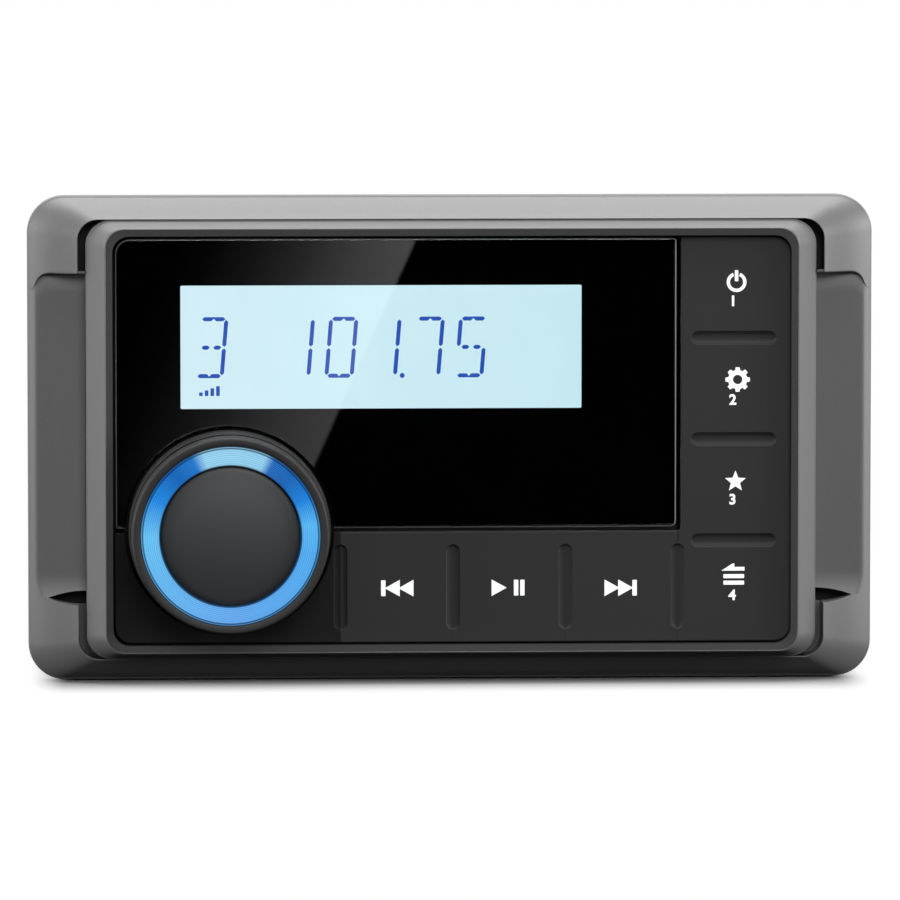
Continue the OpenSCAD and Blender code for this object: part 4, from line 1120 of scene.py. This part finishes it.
class STEREO_OT_key_signs(bpy.types.Operator):
    """Prints the plain signs and numbers on the keys."""

    bl_idname = "stereo.key_signs"
    bl_label = "Key signs"

    def execute(self, context):
        thick = in_mm(context.scene.stereo_keypad).print_height
        for name, sign in key_signs().items():
            front = extents("key_" + name)[5]
            bm = bmesh.new()
            for loop, holes in sign:
                plate(loop, holes, front, front + thick, bm)
            hand_over("sign_" + name, bm, name + "_button", "keypad_rubber", finishes=["legend_white_glow"])
        for number, (name, v) in enumerate(NUMBER_PLACES.items(), 1):
            bm = printed_number(str(number), v, extents("key_" + name)[5] + thick / 2, thick)
            label = f"number_{number}"
            hand_over(label, bm, name + "_button", "keypad_rubber", finishes=["legend_white_glow"])
        return {"FINISHED"}


def printed_number(text, v, w, thick):
    """A small number standing on a key, as a bmesh."""
    curve = bpy.data.curves.new("number", "FONT")
    curve.body = text
    curve.size = NUMBER_SIZE * MM
    curve.align_x = "CENTER"
    curve.align_y = "CENTER"
    curve.extrude = thick / 2 * MM
    curve.offset = NUMBER_BOLD * MM
    holder = bpy.data.objects.new("number", curve)
    bpy.context.collection.objects.link(holder)
    bm = taken(holder)
    for point in bm.verts:
        point.co = world(NUMBER_COLUMN + point.co.x / MM, v + point.co.y / MM, w + point.co.z / MM)
    return bm


def bar(u, v, half_u, half_v, r=0.1):
    """A small bar of a sign, without holes."""
    return (box_loop(u - half_u, u + half_u, v - half_v, v + half_v, r, 2), [])


def triangle(u, v, side):
    """A triangle that points right for side 1 and left for side -1, without holes."""
    half, reach = 1.4, side * 1.4 * 0.9
    loop = [(u - reach, v - half), (u + reach, v), (u - reach, v + half)]
    return (loop if side > 0 else loop[::-1], [])


def skip_sign(u, v, side):
    """Two triangles against a bar."""
    pair = [triangle(u + side * d, v, side) for d in (-1.55, 0.75)]
    return pair + [bar(u + side * 2.25, v, 0.38, 1.33)]


def star_loop(u, v, corners, turn):
    """A loop through corners of angle and radius, repeated all round at every turn in degrees."""
    spokes = [(start + a, r) for start in range(0, 360, turn) for a, r in corners]
    return [arc(u, v, r, a, a, 1)[0] for a, r in spokes]


def key_signs():
    """The signs by key: each a list of loops and their holes."""
    u, v = 47.58, 26.33
    ring = arc(u, v, 1.66, 112, 428, 40) + arc(u, v, 1.1, 428, 112, 40)
    power_sign = [(ring, []), bar(u, v + 1.075, 0.3, 0.925)]
    u, v = 47.81, 10.0
    teeth = ((-15, 1.62), (-9, 2.08), (9, 2.08), (15, 1.62))
    gear = [(star_loop(u, v, teeth, 45), [circle(u, v, 0.78, 32)])]
    star = [(star_loop(47.49, -7.13, ((90, 1.85), (126, 0.8)), 72), [])]
    u, v = 47.25, -22.75
    arrow = [(-2.1, 0.62), (1.8, 0.62), (1.8, 1.25), (0.1, 1.25), (0.1, 1.85), (-0.25, 1.8)]
    menu = [bar(u, v + d, 1.75, 0.34, 0.12) for d in (-1.4, -0.3)]
    menu.append(([(u + a, v + b) for a, b in arrow], []))
    u, v = 9.28, -24.83
    play = [triangle(u - 1.45, v, 1)] + [bar(u + d, v, 0.37, 1.33) for d in (1.4, 2.45)]
    return {
        "source": power_sign,
        "settings": gear,
        "favourite": star,
        "back": menu,
        "previous": skip_sign(-9.33, -24.83, -1),
        "play": play,
        "next": skip_sign(28.33, -24.93, 1),
    }


# Knob


class KnobSettings(bpy.types.PropertyGroup):
    """Sizes of the knob."""

    taper: length("Taper", "Taper of the grip on its radius", 0.6)
    edge: length("Edge", "Rounding of the grip's front edge", 0.4)
    ring_outer: length("Ring outer", "Outer radius of the light ring", 14.9)
    ring_inner: length("Ring inner", "Inner radius of the light ring", 11.7)
    ring_lines: count("Ring lines", "Turned lines on the ring", 9, 1)
    line_depth: length("Line depth", "Depth of the turned lines", 0.045)
    groove_drop: length("Groove drop", "Distance from the front edge to the ribbed groove", 4.0)
    rib_count: count("Ribs", "Ribs in the grip's groove", 240, 3)
    dome: length("Dome", "Rise of the cap's domed face", 0.9)
    rib_size: length("Rib size", "Height of one rib", 0.17)


class STEREO_OT_knob(bpy.types.Operator):
    """Turns the knob's grip, its ribbed groove, the light ring and the cap."""

    bl_idname = "stereo.knob"
    bl_label = "Knob"

    def execute(self, context):
        s = in_mm(context.scene.stereo_knob)
        axis = centre_of("knob_grip")
        u0, u1, _, _, foot, top = extents("knob_grip")
        radius = (u1 - u0) / 2
        outer, inner, edge = s.ring_outer, s.ring_inner, s.edge
        groove = top - edge - s.groove_drop
        waist = radius - s.taper * (groove - foot) / (top - edge - foot)
        # half width of the groove at its mouth and floor, its depth, and the ribs' depth in it
        mouth, floor, deep, rib_deep = 0.7, 0.5, 0.3, 0.22
        # the bore round the ring, the chamfer at the foot, and what the taper adds at the groove's ends
        bore, chamfer, lean = outer + 0.05, 0.4, 0.03
        profile = [(bore, foot), (radius - chamfer, foot), (radius, foot + chamfer)]
        profile += [(waist + lean, groove - mouth), (waist - deep, groove - floor)]
        profile += [(waist - deep, groove + floor), (waist - lean, groove + mouth)]
        for step, rise in soft_edge(edge, range(0, 91, 10)):
            profile.append((radius - s.taper - step, top - edge + rise))
        profile += [(outer + 0.3, top), (outer + 0.12, top - 0.08), (bore, top - 0.3)]
        # the groove behind the ribs is black, as painted shade
        kinds = [1 if 3 <= i <= 5 else 0 for i in range(len(profile))]
        bm = turned(axis, profile, 160, closed=True, kinds=kinds)
        finishes = ["knob_black", "mask_black"]
        hand_over("knob_grip_sleeve", bm, "knob", "knob_black", "knob_grip", finishes=finishes)
        bm = bmesh.new()
        bmesh.ops.create_icosphere(bm, subdivisions=1, radius=MM)
        places = [(u, v, groove) for u, v in circle(*axis, waist - rib_deep, s.rib_count)]
        bm = repeated(keep("rib", bm, ["knob_black"]), places, s.rib_size)
        hand_over("knob_ribs", bm, "knob", "knob_black")
        foot, top = extents("knob_ring")[4:]
        # the ring has a narrow outer land, a fine groove beside it and turned lines inside that
        chamfer, land, groove_deep, line_top = 0.06, 0.28, 0.12, 0.03
        edge = outer - land
        profile = [(inner, foot), (outer, foot), (outer, top - chamfer), (outer - chamfer, top)]
        profile += [(edge, top), (edge - 0.05, top - groove_deep), (edge - 0.13, top - groove_deep)]
        start = edge - 0.18
        span = start - inner - 0.1
        points = 6 * s.ring_lines
        for i in range(points + 1):
            wave = math.cos(TURN * s.ring_lines * i / points)
            profile.append((start - span * i / points, top - line_top + s.line_depth * (wave - 1) / 2))
        profile.append((inner, top - 0.25))
        bm = turned(axis, profile, 200, closed=True)
        hand_over("knob_light_ring", bm, "knob", "light_pipe", "knob_ring", crease=60)
        foot, top = extents("knob_cap")[4:]
        # the cap's gap to the ring, and the soft edge of its face
        gap, soft = 0.1, 0.25
        rim = inner - gap
        low, flat = top - s.dome, rim - soft
        profile = [(0.5, foot), (rim, foot), (rim, low - 0.3), (rim - 0.08, low - 0.1), (flat, low)]
        for i in range(1, 17):
            away = 1 - i / 16
            profile.append((flat * away + 0.02, top - s.dome * away**2))
        hand_over("knob_cap_face", turned(axis, profile, 160), "knob", "knob_face", "knob_cap")
        return {"FINISHED"}


# Chassis, cover and heat sink


class RearSettings(bpy.types.PropertyGroup):
    """Sizes of what stands behind the panel."""

    edge_rounding: length("Edge rounding", "Rounding of moulded edges", 0.35)
    fin_count: count("Fins", "Number of heat sink fins", 9, 2)
    fin_thickness: length("Fin thickness", "Thickness of one fin", 1.6)
    fin_field: length("Fin field", "Width over all the fins", 34.0)
    head_radius: length("Head radius", "Radius of a screw head", 2.0)
    head_height: length("Head height", "Height of a screw head", 1.6)


class STEREO_OT_rear(bpy.types.Operator):
    """Rounds the edges of the chassis, the rear cover, the gasket, the seals and the sockets."""

    bl_idname = "stereo.rear"
    bl_label = "Chassis and sockets"

    def execute(self, context):
        edge = in_mm(context.scene.stereo_rear).edge_rounding
        for node, slot, width in (
            ("panel_gasket", "gasket_foam", 0.15),
            ("chassis", "black_plastic", edge),
            ("rear_cover", "black_plastic", edge),
            ("case_seal", "seal_rubber", 0.15),
            ("rear_seal", "seal_rubber", 0.15),
            ("heat_sink_seal", "seal_rubber", 0.1),
            ("harness_socket", "cream_nylon", 0.25),
            ("rca_sleeves", "gold_plate", 0.15),
            ("usb_socket", "plated_steel", 0.12),
            ("antenna_socket", "plated_steel", 0.25),
            ("rca_block", "black_plastic", 0.15),
        ):
            hand_over(node + "_finished", bevelled(node, width), "root", slot, node)
        return {"FINISHED"}


class STEREO_OT_heat_sink(bpy.types.Operator):
    """Builds the heat sink's base and pedestal and repeats its fins."""

    bl_idname = "stereo.heat_sink"
    bl_label = "Heat sink"

    def execute(self, context):
        s = in_mm(context.scene.stereo_rear)
        u0, u1, v0, v1, back, front = extents("heat_sink")
        # thickness of the base, half width and half height of the pedestal, and the soft edges
        base_thick, stand_u, stand_v, edge, tip_edge = 3.0, 14, 11, 0.25, 0.3
        face = extents("heat_sink_seal")[4]
        root = face - base_thick
        middle = (u0 + u1) / 2
        base = box_loop(u0, u1, v0, v1, 0.6)
        bm = loft([level(inset(base, edge), root), level(base, root + edge), level(base, face)])
        stand = box_loop(middle - stand_u, middle + stand_u, -stand_v, stand_v, 0.5)
        loft([level(stand, face), level(stand, front)], bm)
        hand_over("heat_sink_base", bm, "root", "cast_aluminium", "heat_sink")
        half = s.fin_thickness / 2
        loop = box_loop(-half, half, v0, v1, 0.3, 3)
        tip = back - root
        rings = [level(inset(loop, tip_edge), tip), level(loop, tip + tip_edge), level(loop, 0)]
        fin = keep("fin", loft(rings), ["cast_aluminium"])
        pitch = (s.fin_field - 2 * half) / (s.fin_count - 1)
        places = [(middle - s.fin_field / 2 + half + i * pitch, 0, root) for i in range(s.fin_count)]
        hand_over("heat_sink_fins", repeated(fin, places), "root", "cast_aluminium")
        return {"FINISHED"}


class STEREO_OT_screws(bpy.types.Operator):
    """Repeats the cross-head screws of the rear cover and the heat sink, and the harness pins."""

    bl_idname = "stereo.screws"
    bl_label = "Screws and pins"

    def execute(self, context):
        s = in_mm(context.scene.stereo_rear)
        r, h = s.head_radius, s.head_height
        for node in ("rear_screws", "heat_sink_screws"):
            u0, u1, v0, v1, back, front = extents(node)
            places = [(u, v, back + h) for u in (u0 + r, u1 - r) for v in (v0 + r, v1 - r)]
            bm = repeated(screw_item(r, h, front - back - h), places)
            hand_over(node + "_finished", bm, "root", "screw_steel", node)
        u0, u1, v0, v1, back, front = extents("harness_pins")
        # half the side of a pin, the length and the draw of its tip, and the pins in a row
        side, tip, draw, row = 0.45, 0.5, 0.2, 8
        loop = box_loop(-side, side, -side, side, 0.12, 2)
        end = back - front
        rings = [level(inset(loop, draw), end), level(loop, end + tip), level(loop, 0)]
        pin = keep("pin", loft(rings), ["gold_plate"])
        pitch = (u1 - u0 - 2 * side) / (row - 1)
        places = [(u0 + side + i * pitch, v, front) for i in range(row) for v in (v0 + side, v1 - side)]
        hand_over("harness_pins_finished", repeated(pin, places), "root", "gold_plate", "harness_pins")
        return {"FINISHED"}


def screw_item(r, h, shank):
    """One pan-head screw round the origin, with its head behind and a cross recess."""
    # radius of the shank and of its tip
    thick, tip = 1.25, 0.7
    profile = [(r * 0.55, -h), (r * 0.8, -h * 0.93), (r * 0.95, -h * 0.7), (r, -h * 0.4), (r, 0)]
    profile += [(thick, 0), (thick, shank - 0.6), (tip, shank)]
    head = keep("head", turned((0, 0), profile, 40), ["screw_steel"])
    arm, half = r * 0.62, r * 0.14
    cross = []
    for c, d in ((1, 0), (0, 1), (-1, 0), (0, -1)):
        for a, b in ((half, -half), (arm, -half), (arm, half)):
            cross.append((a * c - b * d, a * d + b * c))
    recess = keep("cross", plate(cross, [], -h - 0.5, -h * 0.45), [])
    return keep("screw", cut(head, recess), ["screw_steel"])


class STEREO_OT_inside(bpy.types.Operator):
    """Gives the pieces inside the case their finishes."""

    bl_idname = "stereo.inside"
    bl_label = "Inside"

    def execute(self, context):
        slots = {sub["node"]: sub["material_slot"] for sub in frame["record"]["subparts"]}
        for node, piece in frame["nodes"].items():
            if piece.hide_render:
                continue
            finish = "backlight_white" if node == "ring_light_guide" else slots[node]
            for i in range(len(piece.material_slots)):
                piece.material_slots[i].material = MATERIALS[finish]
        return {"FINISHED"}


# Stage


class StageSettings(bpy.types.PropertyGroup):
    """Camera and light."""

    distance: length("Camera distance", "Distance from the panel to the camera", 1300)
    azimuth: angle("Azimuth", "Camera's turn to the side", -2.7)
    elevation: angle("Elevation", "Camera's height above the level", 4.4)
    view_width: length("View width", "Width of the picture at the panel", 151.4)
    aim_u: bpy.props.FloatProperty(name="Aim u", description="Sideways aim in millimetres", default=-0.05)
    aim_v: bpy.props.FloatProperty(name="Aim v", description="Upright aim in millimetres", default=-2.24)
    top_power: power("Top light", 26)
    side_power: power("Side lights", 15.5)
    fill_power: power("Front fill", 5.3)


# Soft lamps: place, width and height in metres, the setting of their power and its share
LAMPS = {
    "top_light": ((0, 0.12, 1.15), 1.6, 1.0, "top_power", 1),
    "left_light": ((-1.2, -0.25, 0.03), 0.5, 0.8, "side_power", 1),
    "right_light": ((1.2, -0.25, 0.03), 0.5, 0.8, "side_power", 1.25),
    "front_fill": ((0.15, -1.15, 0.58), 0.6, 0.5, "fill_power", 1),
}
# Width of the camera's sensor, and distance of its aim in front of the panel, in millimetres
SENSOR, AIM_W = 36, 3.0
# Shadow on the floor in metres: half its width, half its reach in front of the panel, its fade, and
# how much faster it fades to the sides
SHADOW_HALF, SHADOW_REACH, SHADOW_FADE, SHADOW_SIDE = 0.064, 0.002, 0.022, 3
# Paint of the floor for bounced light and to the eye, and the backdrop's light on the stereo
FLOOR_BOUNCE, FLOOR_SEEN, BACKDROP = 0.03, 0.3, 0.012


class STEREO_OT_stage(bpy.types.Operator):
    """Sets up the floor, the backdrop light, the lamps, the dark card and the camera."""

    bl_idname = "stereo.stage"
    bl_label = "Stage"

    def execute(self, context):
        scene = context.scene
        s = scene.stereo_stage
        ground = CAD_BOX[0].z
        scene.view_settings.view_transform = "Standard"
        flat = math.cos(s.elevation)
        side = Vector((math.sin(s.azimuth) * flat, -math.cos(s.azimuth) * flat, math.sin(s.elevation)))
        data = bpy.data.cameras.new("Camera")
        data.sensor_width = SENSOR
        data.lens = SENSOR * s.distance / s.view_width
        data.clip_start, data.clip_end = 0.05, 20
        eye = world(s.aim_u, s.aim_v, AIM_W) + side * s.distance
        scene.camera = staged("Camera", data, eye, -side)
        floor = sheet("floor", (-4, 4), (-4, 4), ground - 0.0002, white_floor())
        card = sheet("dark_card", (-0.9, 0.9), (-2.2, 0.0), ground + 0.0001, dark_card(eye, ground))
        card.visible_camera = False
        card.visible_diffuse = False
        card.visible_shadow = False
        white_world(scene)
        for name, (place, width, height, setting, share) in LAMPS.items():
            data = bpy.data.lights.new(name, "AREA")
            data.shape = "RECTANGLE"
            data.size, data.size_y = width, height
            data.energy = getattr(s, setting) * share
            staged(name, data, Vector(place), -Vector(place))
        return {"FINISHED"}


def staged(name, data, place, facing):
    """A camera or lamp at a place, turned to face a way."""
    piece = bpy.data.objects.new(name, data)
    piece.location = place
    piece.rotation_mode = "QUATERNION"
    piece.rotation_quaternion = facing.to_track_quat("-Z", "Y")
    bpy.context.collection.objects.link(piece)
    return piece


def sheet(name, x, y, z, material):
    """A flat stage sheet at one height, in metres."""
    mesh = bpy.data.meshes.new(name)
    mesh.from_pydata([(x[0], y[0], z), (x[1], y[0], z), (x[1], y[1], z), (x[0], y[1], z)], [], [(0, 1, 2, 3)])
    mesh.materials.append(material)
    piece = bpy.data.objects.new(name, mesh)
    bpy.context.collection.objects.link(piece)
    return piece


def seen_rays(tree):
    """1 for camera, glossy and transmission rays, else 0."""
    ray = add(tree, "ShaderNodeLightPath").outputs
    seen = maths(tree, "MAXIMUM", ray["Is Camera Ray"], ray["Is Glossy Ray"])
    return maths(tree, "MAXIMUM", seen, ray["Is Transmission Ray"])


def white_floor():
    """Painted studio floor: white to the eye, a plain dark grey for bounced light, with a soft shadow."""
    material, tree = new_material("White studio floor")
    seen = seen_rays(tree)
    tone = remapped(tree, seen, to_low=FLOOR_BOUNCE, to_high=FLOOR_SEEN)
    paint = add(tree, "ShaderNodeBsdfDiffuse", links={"Color": tone})
    white = add(tree, "ShaderNodeEmission", {"Color": linear("#ffffff"), "Strength": 1.0})
    # the paint shows under the stereo, where its shadow lies, and fades to even white round it
    half = CAD_BOX[1].y / 2
    step = vectors(tree, "SUBTRACT", coords(tree), (0, half - SHADOW_REACH, 0))
    size = (SHADOW_HALF, half + SHADOW_REACH, 1)
    step = vectors(tree, "SUBTRACT", vectors(tree, "ABSOLUTE", step), size)
    step = vectors(tree, "MULTIPLY", vectors(tree, "MAXIMUM", step, (0, 0, 0)), (SHADOW_SIDE, 1, 0))
    far = vectors(tree, "LENGTH", step)
    even = remapped(tree, far, 0.0, SHADOW_FADE, interpolation_type="SMOOTHSTEP")
    share = maths(tree, "MULTIPLY", seen, even)
    shaders = {0: share, 1: paint.outputs["BSDF"], 2: white.outputs["Emission"]}
    mixed = add(tree, "ShaderNodeMixShader", links=shaders)
    add(tree, "ShaderNodeOutputMaterial", links={"Surface": mixed.outputs["Shader"]})
    return material


def white_world(scene):
    """White background to the eye, a dim even light for everything else."""
    studio = bpy.data.worlds.new("Studio")
    studio.use_nodes = True
    tree = studio.node_tree
    tree.nodes.clear()
    strength = remapped(tree, seen_rays(tree), to_low=BACKDROP)
    white = add(tree, "ShaderNodeBackground", {"Color": linear("#ffffff")}, {"Strength": strength})
    add(tree, "ShaderNodeOutputWorld", links={"Surface": white.outputs["Background"]})
    scene.world = studio


# Glare in the lens: the upper and lower end of its sharp edge there, and its strength across a span
# of the card in metres. It fades out between two distances in front of the stereo.
GLARE_ENDS = ((-6.15, 33.35), (-23.4, -4.9))
GLARE_SPAN, GLARE_FADE = (-0.01, 0.1), (0.28, 0.4)
GLARE = ((0.088, 0.0), (0.095, 0.52), (0.184, 0.38), (0.312, 0.145), (0.405, 0.055), (0.5, 0.01), (0.58, 0.0))


def dark_card(eye, ground):
    """Black studio card in front of the stereo, with one pale patch that the lens mirrors as a soft glare."""
    material, tree = new_material("Dark studio card")
    front = extents("lens")[5]

    def mirrored(u, v):
        """The point of the card that the eye sees in a point of the lens."""
        spot = world(u, v, front)
        t = (ground - spot.z) / (spot.z - eye.z)
        return Vector((spot.x + t * (spot.x - eye.x), spot.y - t * (spot.y - eye.y)))

    upper, lower = [mirrored(*end) for end in GLARE_ENDS]
    run = (upper - lower).normalized()
    away = Vector((-run.y, run.x))
    if away.x > 0:
        away = -away
    spot = coords(tree)
    centred = vectors(tree, "SUBTRACT", spot, (lower.x, lower.y, 0))
    across = vectors(tree, "DOT_PRODUCT", centred, (away.x, away.y, 0))
    # distance from the mirrored eye, as a share of its value at the lower end
    behind = -2 * front * MM - eye.y
    whole = behind - lower.y
    run_out = vectors(tree, "DOT_PRODUCT", spot, (0, -1 / whole, 0))
    reach = maths(tree, "ADD", run_out, behind / whole)
    seen_width = maths(tree, "DIVIDE", across, reach)
    glow = ramped(tree, remapped(tree, seen_width, *GLARE_SPAN), GLARE)
    # the patch ends well in front of the stereo, so that its lower edge doesn't mirror it
    clear = remapped(tree, run_out, *[distance / whole for distance in GLARE_FADE])
    strength = maths(tree, "MULTIPLY", clear, reach)
    body = add(tree, "ShaderNodeEmission", links={"Color": glow, "Strength": strength})
    add(tree, "ShaderNodeOutputMaterial", links={"Surface": body.outputs["Emission"]})
    return material


# Add-on

STEPS = (
    STEREO_OT_trim,
    STEREO_OT_front_frame,
    STEREO_OT_lens,
    STEREO_OT_display,
    STEREO_OT_keypad,
    STEREO_OT_key_signs,
    STEREO_OT_knob,
    STEREO_OT_rear,
    STEREO_OT_heat_sink,
    STEREO_OT_screws,
    STEREO_OT_inside,
    STEREO_OT_stage,
)
SETTINGS = {
    "stereo_trim": TrimSettings,
    "stereo_frame": FrameSettings,
    "stereo_display": DisplaySettings,
    "stereo_keypad": KeypadSettings,
    "stereo_knob": KnobSettings,
    "stereo_rear": RearSettings,
    "stereo_stage": StageSettings,
}


class STEREO_PT_panel(bpy.types.Panel):
    """Lists the steps and their settings."""

    bl_label = "Marine stereo"
    bl_idname = "STEREO_PT_panel"
    bl_space_type = "VIEW_3D"
    bl_region_type = "UI"
    bl_category = "Stereo"

    def draw(self, context):
        for step in STEPS:
            self.layout.operator(step.bl_idname)
        for name in SETTINGS:
            box = self.layout.box()
            settings = getattr(context.scene, name)
            for prop in settings.__annotations__:
                box.prop(settings, prop)


def register():
    """Registers the settings, the steps and the panel."""
    for name, group in SETTINGS.items():
        bpy.utils.register_class(group)
        setattr(bpy.types.Scene, name, bpy.props.PointerProperty(type=group))
    for item in STEPS + (STEREO_PT_panel,):
        bpy.utils.register_class(item)


def unregister():
    """Takes the add-on out again."""
    for item in (STEREO_PT_panel,) + STEPS:
        bpy.utils.unregister_class(item)
    for name, group in SETTINGS.items():
        delattr(bpy.types.Scene, name)
        bpy.utils.unregister_class(group)


def main():
    """Dresses the whole stereo."""
    register()
    MATERIALS.update(make_materials())
    for step in STEPS:
        group, name = step.bl_idname.split(".")
        getattr(getattr(bpy.ops, group), name)()


if __name__ == "__main__":
    main()
